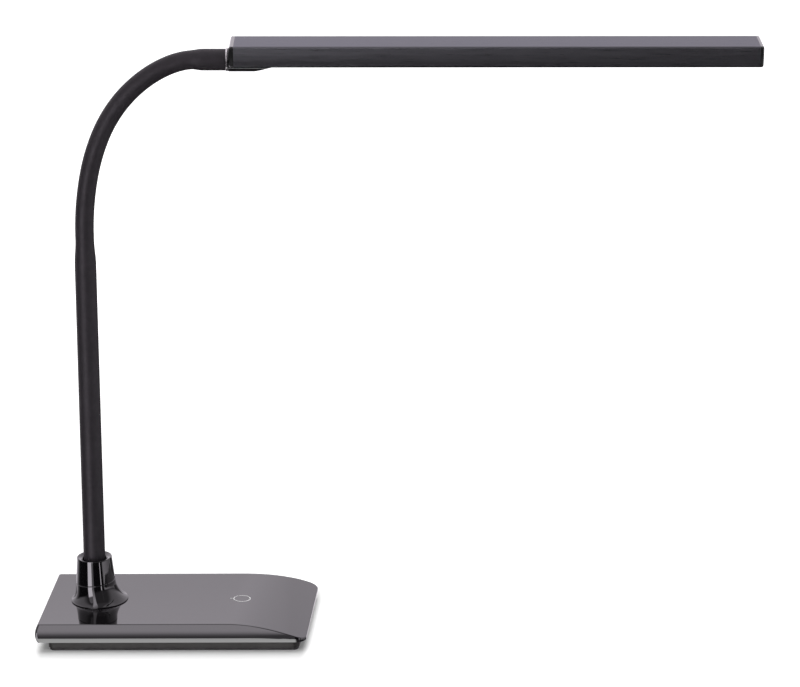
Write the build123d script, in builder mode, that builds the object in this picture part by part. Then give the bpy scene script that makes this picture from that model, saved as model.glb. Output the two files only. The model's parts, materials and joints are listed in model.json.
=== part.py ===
from build123d import *
from math import cos, radians, sin
import os

# A desk lamp on a weighted base. A rubber-covered gooseneck rises near the rear of the base
# and carries a long flat aluminium head. Millimetres. +X points from the neck towards the
# nose of the base, +Z is up. The origin is on the underside, below the foot of the neck.

# ---- base: heights, from the underside up ----
pad_thickness = 1.5
plinth_height = 5.5
plinth_floor = 2.0
plinth_wall = 2.6
plinth_lip_height = 1.5
plinth_lip_wall = 1.5
shell_height = 12.9
shell_wall = 2.5

# ---- base: plan ----
rear_reach = 35.6            # from the neck to the rear edge of the flat top
nose_reach = 158.0           # from the neck to the tip of the nose
top_half_width = 51.0        # at the crease that edges the flat top
side_bulge = 3.7             # how far the sides swell past the crease
side_tuck = 0.6              # how far they come back in at the rim
end_bulge = 1.9
end_tuck = 1.5
shell_corner = 1.5
nose_corner = 7.0
nose_rim = 9.0               # solid rim behind the tip of the nose
crease_round = 0.5
nose_slope = 57.4            # length of the top that falls in an arc to the nose
nose_lip = 2.1               # height left at the tip of the nose
rim_width = 3.8              # the shell's seat on the plinth
plinth_rear_inset = 6.7      # from the flat top's rear edge
plinth_nose_inset = 4.9
plinth_side_overhang = 1.2   # past the crease
plinth_corner = 5.0
plinth_bevel = 0.5
pad_inset = 0.8

# ---- base: inside ----
ballast_gap = 1.0
ballast_nose_gap = 19.0
window_length = 40.0         # the ballast's window for the lead below the neck
window_width = 14.0
window_rear = 9.0
screw_radius = 1.5
screw_head_radius = 2.8
screw_head_height = 1.6
screw_reach = 6.0            # into the boss
boss_wall = 2.2
boss_rear_inset = 18.0
boss_nose_inset = 27.0
boss_side_inset = 14.0
slip = 0.1                   # between flat faces that slide or nest
snug = 0.05                  # between a shaft and its bore
over = 1.0                   # how far a cut runs past what it cuts

# ---- touch control and electronics ----
touch_inset = 51.0           # from the tip of the nose to the centre of the ring
touch_radius = 5.95
touch_line = 0.8
touch_tick = 2.9
inlay_depth = 0.4
electrode_radius = 7.5
electrode_thickness = 0.3
board_length = 38.0
board_width = 40.0
board_thickness = 1.6
board_gap = 1.1              # under the lowest point of the ceiling above it
stud_radius = 2.6
stud_inset = 4.0
stud_screw_radius = 1.0
stud_screw_length = 2.6
lead_entry = 9.0             # the supply terminal, to one side of the middle
chip_size = 8.0
chip_height = 2.2
chip_offset = 10.5
contact_radius = 1.5
contact_gap = 0.05           # between the contact and the electrode
inlet_drop = 4.6             # centre of the inlet below the inside of the flat top
inlet_nose_radius = 4.0
inlet_width = 9.0
inlet_depth = 13.0
inlet_bore_radius = 2.8
inlet_bore_depth = 9.5
inlet_pin_radius = 1.0
lead_radius = 1.2
lead_exit = 2.0              # where the lead leaves the inlet, to one side of the middle
lead_straight = 3.1          # behind the inlet
lead_sidestep = 9.0          # length over which it steps aside
lead_aside = 14.0            # how far to one side it passes the nut of the neck
lead_return = 28.0           # from there back towards its terminal, before the board
lead_run_in = 8.0            # straight length before the board
lead_clearance = 0.9         # over the ballast, under the terminals
lead_bend = 3.0

# ---- collar round the foot of the neck ----
collar_height = 33.2
seam_height = 14.8           # above the flat top
seam_tilt = 4.0
seam_bevel = 0.35
seam_run = 2.4               # how far both halves are made past the tilted seam
cone_start = 1.4             # below the seam, where the flare becomes the cup's cone
cup_top_radius = 12.65
cup_seam_radius = 14.35
cup_rim = 0.7
cup_dish = 0.9
cup_web = 3.0
foot_radius = 20.8
foot_offset = 2.3
foot_lip = 0.9
foot_step = 0.5              # the flare starts this far inside the lip
# height above the flat top, then how much of the foot's spread and of its offset is left
flare_shape = [(2.6, 0.612, 0.78), (5.6, 0.318, 0.48), (9.6, 0.116, 0.17)]
bush_radius = 10.0
bush_flange = 2.1
bush_spigot_radius = 6.2
stem_hole_clearance = 0.8

# ---- root fitting of the neck ----
root_radius = 5.0
root_shoulder_radius = 9.0
root_shoulder = 2.5
root_body_radius = 7.0
root_socket_depth = 14.0
root_tail = 6.4              # below the inside of the flat top
washer_radius = 10.0
washer_thickness = 1.0
nut_flats = 16.0
nut_thickness = 5.0

# ---- neck ----
neck_azimuth = 4.1           # the neck stands turned a little out of line with the base
root_rise = 24.1             # straight up from the flat top to the foot of the sleeve
lean_length = 15.2
stem_lean = 1.45
stem_length = 237.0
bend_lengths = [43.5, 29.5, 20.5, 19.0, 18.5, 15.5, 11.0, 8.5]
head_pitch = 91.7            # direction of the neck's far end, from vertical
end_length = 21.0
stem_radius = 7.9
stem_draft = 0.2             # how much slimmer the stem is at its top
flex_radius = 6.7
end_radius = 7.65
taper_length = 11.0
taper_gap = 5.0
step_gap = 3.0
step_length = 1.6
core_radius = 4.5
core_bore = 2.5
cable_radius = 1.6
cable_bend = 4.8

# ---- ball joints between the links of the neck ----
ball_inset = 0.6             # the balls are this much smaller than the sleeve
ball_clearance = 0.15
joint_gap = 1.0              # from a joint's centre to each edge of its groove
core_start = 5.3
core_end = 3.0
sway_after = [True, True, False, True, False, False, False, False]   # one flag for each bend

# ---- swivel of the head ----
ferrule_radius = 8.2
ferrule_length = 1.4
ferrule_bevel = 0.3
swivel_gap = 0.15
spigot_radius = 5.0
spigot_tail = 12.0
spigot_reach = 21.4
clip_radius = 6.2
clip_thickness = 1.0
clip_depth = 0.8
clip_back = 1.4
socket_radius = 8.4
socket_nose = 1.3            # stands proud of the inner cap
ramp_start = 18.4
ramp_length = 19.4

# ---- head ----
head_half_width = 18.2
head_top = 13.0              # above the swivel's axis
head_bottom = -2.4
head_edge = 1.5
face_crease = 6.0            # below the top
face_tuck = 1.5
face_foot = 12.9
sole_inset = 3.3             # the sole is this much narrower on each side
sole_roll = 0.35
housing_length = 366.7
top_wall = 1.8
side_wall = 2.4
lip_thickness = 1.5
lip_width = 1.5              # of the sole, beside the diffuser
groove_height = 1.1
port_radius = 2.2
port_bore = 1.1
port_inset = 5.0
port_drop = 3.6
cap_thickness = 3.1
outer_cap_thickness = 2.4
cap_bevel = 0.8
cap_screw_radius = 1.05
cap_screw_head = 1.9
cap_screw_head_height = 1.0
cap_screw_length = 8.0
bracket_length = 36.0
bracket_height = 5.5
led_board_gap = 1.5          # from the lamp board to the screw ports
led_board_thickness = 1.6
led_board_overlap = 4.0      # over the end of the bracket
led_pitch = 8.0
led_length = 3.5
led_width = 2.8
led_height = 0.7
led_end_margin = 12.0
terminal_length = 6.0
terminal_width = 5.0
terminal_height = 3.0

# ---- levels and places worked out from the sizes above ----
plinth_bottom = pad_thickness
plinth_top = plinth_bottom + plinth_height
floor_top = plinth_bottom + plinth_floor
shell_bottom = plinth_top
shell_top = shell_bottom + shell_height
ceiling = shell_top - shell_wall
nose_start = nose_reach - nose_slope
nose_fall = shell_height - nose_lip
nose_radius = (nose_slope**2 + nose_fall**2) / (2 * nose_fall)


def top_level(sink, reach):
    """Height of the top surface lowered by sink: flat, then an arc that falls to the nose."""
    past = max(0, reach - nose_start)
    radius = nose_radius - sink
    return shell_top - sink - radius + (radius**2 - past**2) ** 0.5


cavity_half_width = top_half_width + plinth_side_overhang - rim_width
cavity_rear = -rear_reach + shell_wall
cavity_nose = nose_reach - nose_rim
lip_nose = cavity_nose - plinth_lip_height
plinth_rear = -rear_reach + plinth_rear_inset
plinth_nose = nose_reach - plinth_nose_inset
plinth_half_width = top_half_width + plinth_side_overhang
shell_half_width = top_half_width + side_bulge
inlet_level = ceiling - inlet_drop
inlet_mouth = -rear_reach - end_bulge / 2
touch_reach = nose_reach - touch_inset
board_rear = touch_reach - board_length / 2
board_top = top_level(shell_wall, touch_reach + board_length / 2) - board_gap
board_bottom = board_top - board_thickness
contact_top = top_level(shell_wall, touch_reach + contact_radius) - electrode_thickness - contact_gap
terminal_level = board_bottom - terminal_height / 2
ballast_top = min(
    inlet_level - inlet_nose_radius - slip,
    board_bottom - terminal_height - lead_clearance,
)
lead_turn = cavity_rear + inlet_depth + lead_straight
screw_spots = [
    (reach, side * (top_half_width - boss_side_inset))
    for reach in (-rear_reach + boss_rear_inset, nose_reach - boss_nose_inset)
    for side in (-1, 1)
]
stud_spots = [
    (touch_reach + along * (board_length / 2 - stud_inset), across * (board_width / 2 - stud_inset))
    for along in (-1, 1)
    for across in (-1, 1)
]

root_length = shell_top + root_rise
stem_top_radius = stem_radius - stem_draft
ball_radius = flex_radius - ball_inset
neck_plane = Plane.XZ.rotated((0, 0, neck_azimuth))
sideways = neck_plane.z_dir * -1
bend_turn = (head_pitch - stem_lean) / len(bend_lengths)
neck_runs = [(root_length, 0), (lean_length, stem_lean), (stem_length, 0)]
neck_runs += [(length, bend_turn) for length in bend_lengths]
neck_runs += [(end_length, 0)]
flex_start = root_length + lean_length + stem_length
flex_end = flex_start + sum(bend_lengths)
neck_end = flex_end + end_length
run_ends = [sum(length for length, turn in neck_runs[:count]) for count in range(len(neck_runs) + 1)]
bend_joints = [
    flex_start + sum(bend_lengths[:number]) + length / 2
    for number, length in enumerate(bend_lengths)
]
sway_joints = [
    flex_start + sum(bend_lengths[: number + 1]) for number, sways in enumerate(sway_after) if sways
]
neck_joints = sorted(bend_joints + sway_joints)

os.makedirs("parts", exist_ok=True)


def save(solid, name):
    """Label a finished piece and write it."""
    solid.label = name
    export_step(solid, f"parts/{name}.step")


# ---- geometry of the neck's centreline ----
def neck_state(distance):
    """Reach, height and lean from vertical (radians), this far along the neck."""
    reach, height, lean = 0.0, 0.0, 0.0
    left = distance
    for length, turn in neck_runs:
        step = min(left, length)
        swing = radians(turn) * step / length
        if turn:
            bend_radius = length / radians(turn)
            reach += bend_radius * (cos(lean) - cos(lean + swing))
            height += bend_radius * (sin(lean + swing) - sin(lean))
        else:
            reach += step * sin(lean)
            height += step * cos(lean)
        lean += swing
        left -= step
        if left <= 0:
            break
    return reach + left * sin(lean), height + left * cos(lean), lean


def neck_section(distance):
    """Plane square to the neck: local X is sideways, local Y towards the outside of the curve."""
    reach, height, lean = neck_state(distance)
    along = neck_plane.x_dir * sin(lean) + neck_plane.y_dir * cos(lean)
    return Plane(neck_plane.from_local_coords((reach, height, 0)), x_dir=sideways, z_dir=along)


def neck_wire(start, end):
    """The centreline between two distances: straight runs and tangent arcs."""
    stops = [start] + [stop for stop in run_ends[1:-1] if start < stop < end] + [end]
    with BuildLine(neck_plane) as wire:
        for near, far in zip(stops, stops[1:]):
            points = [neck_state(spot)[:2] for spot in (near, (near + far) / 2, far)]
            if abs(neck_state(near)[2] - neck_state(far)[2]) < 1e-9:
                Line(points[0], points[2])
            else:
                ThreePointArc(*points)
    return wire.line


def disc(plane, radius):
    """A round face on a plane."""
    with BuildSketch(plane) as face:
        Circle(radius)
    return face.sketch


def neck_rod(start, end, radius, mode=Mode.ADD):
    """A round rod along the neck, added to or cut from the piece being built."""
    sweep(disc(neck_section(start), radius), path=neck_wire(start, end), mode=mode)


def neck_cone(start, end, start_radius, end_radius):
    """A tapered stretch on a straight run of the neck."""
    loft([disc(neck_section(start), start_radius), disc(neck_section(end), end_radius)])


def neck_ball(distance, radius, mode=Mode.ADD):
    """A ball centred on the neck, added to or cut from the piece being built."""
    with Locations(neck_section(distance)):
        Sphere(radius, mode=mode)


# ---- outer form of the base shell ----
def top_form(sink, rear, nose):
    """Everything below the top surface lowered by sink: flat, then falling to the nose."""
    stops = [nose_start, (nose_start + nose) / 2, nose]
    start, half_way, tip = [(reach, top_level(sink, reach)) for reach in stops]
    with BuildPart() as form:
        with BuildSketch(Plane.XZ):
            with BuildLine():
                Line((rear, 0), (rear, shell_top - sink))
                Line((rear, shell_top - sink), start)
                ThreePointArc(start, half_way, tip)
                Line(tip, (nose, 0))
                Line((nose, 0), (rear, 0))
            make_face()
        extrude(amount=shell_half_width + over, both=True)
    return form.part


def plan_block(rear, nose, half_width, bottom, top, rear_corner, front_corner):
    """A block with rounded corners in plan."""
    with BuildPart() as block:
        with BuildSketch(Plane.XY.offset(bottom)):
            with Locations(((rear + nose) / 2, 0)):
                Rectangle(nose - rear, 2 * half_width)
        extrude(amount=top - bottom)
        upright = block.edges().filter_by(Axis.Z)
        fillet(upright.group_by(Axis.X)[0], rear_corner)
        fillet(block.edges().filter_by(Axis.Z).group_by(Axis.X)[-1], front_corner)
    return block.part


with BuildPart() as shell_form:
    middle = shell_bottom + shell_height / 2
    with BuildSketch(Plane.YZ):
        with BuildLine():
            Line((top_half_width, shell_top), (-top_half_width, shell_top))
            ThreePointArc(
                (-top_half_width, shell_top),
                (-shell_half_width, middle),
                (side_tuck - shell_half_width, shell_bottom),
            )
            Line((side_tuck - shell_half_width, shell_bottom), (shell_half_width - side_tuck, shell_bottom))
            ThreePointArc(
                (shell_half_width - side_tuck, shell_bottom),
                (shell_half_width, middle),
                (top_half_width, shell_top),
            )
        make_face()
    extrude(amount=nose_reach, both=True)
    with BuildSketch(Plane.XZ):
        with BuildLine():
            Line((-rear_reach, shell_top), (nose_reach, shell_top))
            Line((nose_reach, shell_top), (nose_reach, shell_bottom))
            Line((nose_reach, shell_bottom), (end_tuck - rear_reach - end_bulge, shell_bottom))
            ThreePointArc(
                (end_tuck - rear_reach - end_bulge, shell_bottom),
                (-rear_reach - end_bulge, middle),
                (-rear_reach, shell_top),
            )
        make_face()
    extrude(amount=shell_half_width + over, both=True, mode=Mode.INTERSECT)
    add(
        plan_block(
            -rear_reach - end_bulge, nose_reach, shell_half_width,
            shell_bottom, shell_top, shell_corner, nose_corner,
        ),
        mode=Mode.INTERSECT,
    )
    add(top_form(0, -rear_reach - end_bulge, nose_reach), mode=Mode.INTERSECT)
    crown = shell_form.faces().filter_by(Axis.Z).sort_by(Axis.Z)[-1]
    rear_edge = crown.edges().filter_by(Axis.Y).sort_by(Axis.X)[:1]
    fillet(crown.edges().filter_by(Axis.X) + rear_edge, crease_round)

with BuildPart() as touch_mark:
    with BuildSketch(Plane.XY):
        with Locations((touch_reach, 0)):
            Circle(touch_radius + touch_line / 2)
            Circle(touch_radius - touch_line / 2, mode=Mode.SUBTRACT)
        with Locations((touch_reach - touch_radius - touch_tick / 2, 0)):
            Rectangle(touch_tick + touch_line, touch_line)
    extrude(amount=shell_top + over)
    add(top_form(inlay_depth, -rear_reach, nose_reach), mode=Mode.SUBTRACT)

with BuildPart() as hollow:
    add(
        plan_block(
            cavity_rear, cavity_nose, cavity_half_width,
            shell_bottom, shell_top, shell_corner, nose_corner,
        )
    )
    add(top_form(shell_wall, -rear_reach, nose_reach), mode=Mode.INTERSECT)

with BuildPart() as bosses:
    with BuildSketch(Plane.XY.offset(ballast_top)):
        with Locations(*screw_spots):
            Circle(screw_radius + boss_wall)
    extrude(amount=shell_top - ballast_top)
    with BuildSketch(Plane.XY.offset(board_top)):
        with Locations(*stud_spots):
            Circle(stud_radius)
    extrude(amount=shell_top - board_top)
    add(hollow.part, mode=Mode.INTERSECT)

with BuildPart() as base_shell:
    add(shell_form.part)
    add(touch_mark.part, mode=Mode.SUBTRACT)
    add(hollow.part, mode=Mode.SUBTRACT)
    add(bosses.part)
    with BuildSketch(Plane.XY.offset(ballast_top)):
        with Locations(*screw_spots):
            Circle(screw_radius + snug)
    extrude(amount=screw_reach, mode=Mode.SUBTRACT)
    with BuildSketch(Plane.XY.offset(board_top)):
        with Locations(*stud_spots):
            Circle(stud_screw_radius + snug)
    extrude(amount=stud_screw_length, mode=Mode.SUBTRACT)
    with BuildSketch(Plane.XY.offset(ceiling)):
        Circle(bush_spigot_radius + snug)
    extrude(amount=2 * shell_wall, mode=Mode.SUBTRACT)
    with BuildSketch(Plane.YZ.offset(cavity_rear)):
        with Locations((0, inlet_level)):
            Circle(inlet_nose_radius + snug)
    extrude(amount=-2 * shell_wall - end_bulge, mode=Mode.SUBTRACT)
save(base_shell.part, "base_shell")

with BuildPart() as touch_ring:
    add(shell_form.part)
    add(touch_mark.part, mode=Mode.INTERSECT)
save(touch_ring.part, "touch_ring")

with BuildPart() as touch_electrode:
    with BuildSketch(Plane.XY.offset(board_top)):
        with Locations((touch_reach, 0)):
            Circle(electrode_radius)
    extrude(amount=shell_top - board_top)
    add(top_form(shell_wall, -rear_reach, nose_reach), mode=Mode.INTERSECT)
    add(top_form(shell_wall + electrode_thickness, -rear_reach, nose_reach), mode=Mode.SUBTRACT)
save(touch_electrode.part, "touch_electrode")

# ---- plinth, ballast, pad and their screws ----
with BuildPart() as bottom_cover:
    add(
        plan_block(
            plinth_rear, plinth_nose, plinth_half_width,
            plinth_bottom, plinth_top, plinth_corner, plinth_corner,
        )
    )
    underside = bottom_cover.faces().sort_by(Axis.Z)[0]
    chamfer(underside.edges(), plinth_bevel)
    add(
        plan_block(
            cavity_rear + slip, lip_nose, cavity_half_width - slip,
            plinth_top, plinth_top + plinth_lip_height, shell_corner, nose_corner,
        )
    )
    add(
        plan_block(
            cavity_rear + slip + plinth_lip_wall, lip_nose - plinth_lip_wall,
            cavity_half_width - slip - plinth_lip_wall,
            plinth_top, plinth_top + plinth_lip_height, shell_corner, nose_corner,
        ),
        mode=Mode.SUBTRACT,
    )
    add(
        plan_block(
            plinth_rear + plinth_wall, lip_nose - plinth_lip_wall,
            cavity_half_width - slip - plinth_lip_wall,
            floor_top, plinth_top, shell_corner, nose_corner,
        ),
        mode=Mode.SUBTRACT,
    )
    with BuildSketch(Plane.XY.offset(plinth_bottom)):
        with Locations(*screw_spots):
            Circle(screw_radius + slip)
    extrude(amount=plinth_floor, mode=Mode.SUBTRACT)
    with BuildSketch(Plane.XY.offset(plinth_bottom)):
        with Locations(*screw_spots):
            Circle(screw_head_radius + slip)
    extrude(amount=screw_head_height, mode=Mode.SUBTRACT)
save(bottom_cover.part, "bottom_cover")

with BuildPart() as anti_slip_pad:
    add(
        plan_block(
            plinth_rear + pad_inset, plinth_nose - pad_inset, plinth_half_width - pad_inset,
            0, pad_thickness, plinth_corner - pad_inset, plinth_corner - pad_inset,
        )
    )
save(anti_slip_pad.part, "anti_slip_pad")

with BuildPart() as ballast_plate:
    add(
        plan_block(
            plinth_rear + plinth_wall + ballast_gap, nose_reach - ballast_nose_gap,
            cavity_half_width - slip - plinth_lip_wall - ballast_gap,
            floor_top, ballast_top, shell_corner, nose_corner,
        )
    )
    with BuildSketch(Plane.XY.offset(floor_top)):
        with Locations((window_length / 2 - window_rear, 0)):
            Rectangle(window_length, window_width)
        with Locations(*screw_spots):
            Circle(screw_radius + slip)
    extrude(amount=ballast_top - floor_top, mode=Mode.SUBTRACT)
save(ballast_plate.part, "ballast_plate")

with BuildPart() as cover_screws:
    with BuildSketch(Plane.XY.offset(plinth_bottom)):
        with Locations(*screw_spots):
            Circle(screw_head_radius)
    extrude(amount=screw_head_height)
    with BuildSketch(Plane.XY.offset(plinth_bottom + screw_head_height)):
        with Locations(*screw_spots):
            Circle(screw_radius)
    extrude(amount=ballast_top + screw_reach - slip - plinth_bottom - screw_head_height)
save(cover_screws.part, "cover_screws")

# ---- electronics in the base ----
with BuildPart() as control_board:
    with BuildSketch(Plane.XY.offset(board_bottom)):
        with Locations((touch_reach, 0)):
            Rectangle(board_length, board_width)
        with Locations(*stud_spots):
            Circle(stud_screw_radius + slip, mode=Mode.SUBTRACT)
    extrude(amount=board_thickness)
save(control_board.part, "control_board")

with BuildPart() as board_screws:
    with BuildSketch(Plane.XY.offset(board_bottom)):
        with Locations(*stud_spots):
            Circle(stud_screw_radius)
    extrude(amount=board_thickness + stud_screw_length - slip)
    with BuildSketch(Plane.XY.offset(board_bottom)):
        with Locations(*stud_spots):
            Circle(stud_radius)
    extrude(amount=-stud_screw_radius)
save(board_screws.part, "board_screws")

with BuildPart() as board_parts:
    with BuildSketch(Plane.XY.offset(board_bottom)):
        with Locations(
            (board_rear + terminal_length / 2, 0),
            (board_rear + terminal_length / 2, lead_entry),
        ):
            Rectangle(terminal_length, terminal_width)
    extrude(amount=-terminal_height)
    with BuildSketch(Plane.XY.offset(board_bottom)):
        with Locations((touch_reach + chip_size / 2, -chip_offset)):
            Rectangle(chip_size, chip_size)
        with Locations((touch_reach + chip_size / 2, chip_offset)):
            Circle(chip_size / 2)
    extrude(amount=-chip_height)
    with BuildSketch(Plane.XY.offset(board_top)):
        with Locations((touch_reach, 0)):
            Circle(contact_radius)
    extrude(amount=contact_top - board_top)
save(board_parts.part, "board_parts")

# ---- low-voltage inlet and its lead ----
with BuildPart() as inlet_socket:
    with BuildSketch(Plane.YZ.offset(cavity_rear)):
        with Locations((0, inlet_level)):
            Rectangle(inlet_width, 2 * inlet_nose_radius)
    extrude(amount=inlet_depth)
    with BuildSketch(Plane.YZ.offset(cavity_rear)):
        with Locations((0, inlet_level)):
            Circle(inlet_nose_radius)
    extrude(amount=-shell_wall - end_bulge / 2)
    with BuildSketch(Plane.YZ.offset(inlet_mouth)):
        with Locations((0, inlet_level)):
            Circle(inlet_bore_radius)
    extrude(amount=inlet_bore_depth, mode=Mode.SUBTRACT)
save(inlet_socket.part, "inlet_socket")

with BuildPart() as inlet_pin:
    with BuildSketch(Plane.YZ.offset(inlet_mouth + inlet_bore_depth)):
        with Locations((0, inlet_level)):
            Circle(inlet_pin_radius)
    extrude(amount=-inlet_bore_depth + inlet_pin_radius)
save(inlet_pin.part, "inlet_pin")

with BuildPart() as supply_lead:
    with BuildLine(Plane.XY.offset(terminal_level)) as lead_path:
        FilletPolyline(
            (cavity_rear + inlet_depth, lead_exit),
            (lead_turn, lead_exit),
            (lead_turn + lead_sidestep, lead_aside),
            (board_rear - lead_return, lead_aside),
            (board_rear - lead_run_in, lead_entry),
            (board_rear, lead_entry),
            radius=lead_bend,
        )
    sweep(disc(Plane(lead_path.line @ 0, z_dir=lead_path.line % 0), lead_radius))
save(supply_lead.part, "supply_lead")

# ---- collar ----
seam_plane = Plane.XY.offset(shell_top + seam_height).rotated((0, -seam_tilt, 0))
collar_bore = bush_radius + slip
cup_top = shell_top + collar_height
cup_slope = (cup_seam_radius - cup_top_radius) / (collar_height - seam_height)
# height above the flat top, radius, offset towards the nose
flare = [(foot_lip, foot_radius - foot_step, foot_offset)]
for level, spread, offset in flare_shape:
    radius = cup_seam_radius + spread * (foot_radius - cup_seam_radius)
    flare.append((level, radius, offset * foot_offset))
flare.append((seam_height - cone_start, cup_seam_radius + cone_start * cup_slope, 0))
flare.append((seam_height + seam_run, cup_seam_radius - seam_run * cup_slope, 0))

with BuildPart() as collar_flange:
    loft([disc(Plane((offset, 0, shell_top + level)), radius) for level, radius, offset in flare])
    split(bisect_by=seam_plane, keep=Keep.BOTTOM)
    seam_face = collar_flange.faces().filter_by(GeomType.PLANE).sort_by(Axis.Z)[-1]
    chamfer(seam_face.edges(), seam_bevel)
    extrude(disc(Plane((foot_offset, 0, shell_top)), foot_radius), amount=foot_lip)
    extrude(disc(Plane.XY.offset(shell_top), collar_bore), amount=collar_height, mode=Mode.SUBTRACT)
save(collar_flange.part, "collar_flange")

with BuildPart() as collar_cup:
    cone_base = cup_seam_radius + seam_run * cup_slope
    loft(
        [
            disc(Plane.XY.offset(shell_top + seam_height - seam_run), cone_base),
            disc(Plane.XY.offset(cup_top), cup_top_radius),
        ]
    )
    split(bisect_by=seam_plane, keep=Keep.TOP)
    seam_face = collar_cup.faces().filter_by(GeomType.PLANE).sort_by(Axis.Z)[0]
    chamfer(seam_face.edges(), seam_bevel)
    extrude(
        disc(Plane.XY.offset(shell_top), collar_bore),
        amount=collar_height - cup_dish - cup_web,
        mode=Mode.SUBTRACT,
    )
    stem_hole = stem_radius + stem_hole_clearance
    extrude(disc(Plane.XY.offset(shell_top), stem_hole), amount=collar_height, mode=Mode.SUBTRACT)
    loft(
        [
            disc(Plane.XY.offset(cup_top - cup_dish), stem_hole),
            disc(Plane.XY.offset(cup_top), cup_top_radius - cup_rim),
        ],
        mode=Mode.SUBTRACT,
    )
save(collar_cup.part, "collar_cup")

with BuildPart() as neck_bush:
    extrude(disc(Plane.XY.offset(ceiling), bush_spigot_radius), amount=shell_wall)
    extrude(disc(Plane.XY.offset(shell_top), bush_radius), amount=bush_flange)
    extrude(
        disc(Plane.XY.offset(ceiling), root_radius + snug),
        amount=shell_wall + bush_flange,
        mode=Mode.SUBTRACT,
    )
save(neck_bush.part, "neck_bush")

# ---- root fitting, its washer and nut ----
shoulder_bottom = shell_top + bush_flange + slip
with BuildPart() as neck_root:
    extrude(
        disc(Plane.XY.offset(ceiling - root_tail), root_radius),
        amount=shoulder_bottom - ceiling + root_tail,
    )
    extrude(disc(Plane.XY.offset(shoulder_bottom), root_shoulder_radius), amount=root_shoulder)
    extrude(
        disc(Plane.XY.offset(shoulder_bottom + root_shoulder), root_body_radius),
        amount=root_length - shoulder_bottom - root_shoulder,
    )
    extrude(
        disc(Plane.XY.offset(ceiling - root_tail), core_bore),
        amount=root_length,
        mode=Mode.SUBTRACT,
    )
    extrude(
        disc(Plane.XY.offset(root_length), core_radius + snug),
        amount=-root_socket_depth,
        mode=Mode.SUBTRACT,
    )
save(neck_root.part, "neck_root")

with BuildPart() as root_washer:
    extrude(disc(Plane.XY.offset(ceiling - slip), washer_radius), amount=-washer_thickness)
    extrude(disc(Plane.XY.offset(ceiling), root_radius + snug), amount=-shell_wall, mode=Mode.SUBTRACT)
save(root_washer.part, "root_washer")

with BuildPart() as root_nut:
    with BuildSketch(Plane.XY.offset(ceiling - slip - washer_thickness)):
        RegularPolygon(nut_flats / 2, 6, major_radius=False)
        Circle(root_radius + snug, mode=Mode.SUBTRACT)
    extrude(amount=-nut_thickness)
save(root_nut.part, "root_nut")

# ---- neck: stem, links and end ----
first_joint = neck_joints[0]
last_joint = neck_joints[-1]
taper_end = flex_start - taper_gap
taper_start = taper_end - taper_length
straight_start = root_length + lean_length

with BuildPart() as stem_core:
    neck_rod(root_length - root_socket_depth + slip, first_joint + core_end, core_radius)
    neck_rod(root_length - root_socket_depth, first_joint + core_end + over, core_bore, Mode.SUBTRACT)
save(stem_core.part, "stem_core")

with BuildPart() as stem_sleeve:
    neck_rod(root_length + slip, straight_start, stem_radius)
    neck_cone(straight_start, taper_start, stem_radius, stem_top_radius)
    neck_cone(taper_start, taper_end, stem_top_radius, flex_radius)
    neck_rod(taper_end, first_joint - joint_gap, flex_radius)
    neck_ball(first_joint, ball_radius)
    neck_rod(root_length, first_joint + ball_radius + over, core_radius + snug, Mode.SUBTRACT)
save(stem_sleeve.part, "stem_sleeve")

for number, (start, end) in enumerate(zip(neck_joints, neck_joints[1:]), 1):
    with BuildPart() as link_core:
        neck_rod(start + core_start, end + core_end, core_radius)
        neck_rod(start, end + core_end + over, core_bore, Mode.SUBTRACT)
    save(link_core.part, f"link_core_{number:02}")

    with BuildPart() as link_sleeve:
        neck_rod(start + joint_gap, end - joint_gap, flex_radius)
        neck_ball(end, ball_radius)
        neck_ball(start, ball_radius + ball_clearance, Mode.SUBTRACT)
        neck_rod(start, end + ball_radius + over, core_radius + snug, Mode.SUBTRACT)
    save(link_sleeve.part, f"link_sleeve_{number:02}")

with BuildPart() as end_core:
    neck_rod(last_joint + core_start, neck_end - spigot_tail - slip, core_radius)
    neck_rod(last_joint, neck_end, core_bore, Mode.SUBTRACT)
save(end_core.part, "end_core")

with BuildPart() as end_sleeve:
    neck_rod(last_joint + joint_gap, flex_end + step_gap, flex_radius)
    neck_cone(flex_end + step_gap, flex_end + step_gap + step_length, flex_radius, end_radius)
    extrude(
        disc(neck_section(flex_end + step_gap + step_length), end_radius),
        amount=end_length - step_gap - step_length,
    )
    neck_ball(last_joint, ball_radius + ball_clearance, Mode.SUBTRACT)
    neck_rod(last_joint, neck_end - spigot_tail, core_radius + snug, Mode.SUBTRACT)
    extrude(
        disc(neck_section(neck_end - spigot_tail - slip), spigot_radius + snug),
        amount=spigot_tail + over,
        mode=Mode.SUBTRACT,
    )
save(end_sleeve.part, "end_sleeve")


# ---- head: planes ----
def head_section(distance):
    """Plane across the head: local X is sideways, local Y is up."""
    return neck_section(neck_end + distance)


head_along = neck_section(neck_end).z_dir
head_up = neck_section(neck_end).y_dir
head_origin = neck_section(neck_end).origin
head_side = Plane(head_origin, x_dir=head_along, z_dir=neck_plane.z_dir)


def head_level(height):
    """Plane lying along the head: local X runs to its tip, local Y is sideways."""
    return Plane(head_origin + head_up * height, x_dir=head_along, z_dir=head_up)


socket_start = ferrule_length + swivel_gap
cap_start = socket_start + socket_nose
housing_start = cap_start + cap_thickness
housing_end = housing_start + housing_length
bracket_end = housing_start + bracket_length
channel_top = head_top - top_wall
channel_half_width = head_half_width - face_tuck - side_wall / 2
sole_half_width = head_half_width - sole_inset
mouth_half_width = sole_half_width - lip_width
led_board_half_width = head_half_width - port_inset - port_radius - led_board_gap
port_spots = [(side * (head_half_width - port_inset), head_top - port_drop) for side in (-1, 1)]

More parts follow.
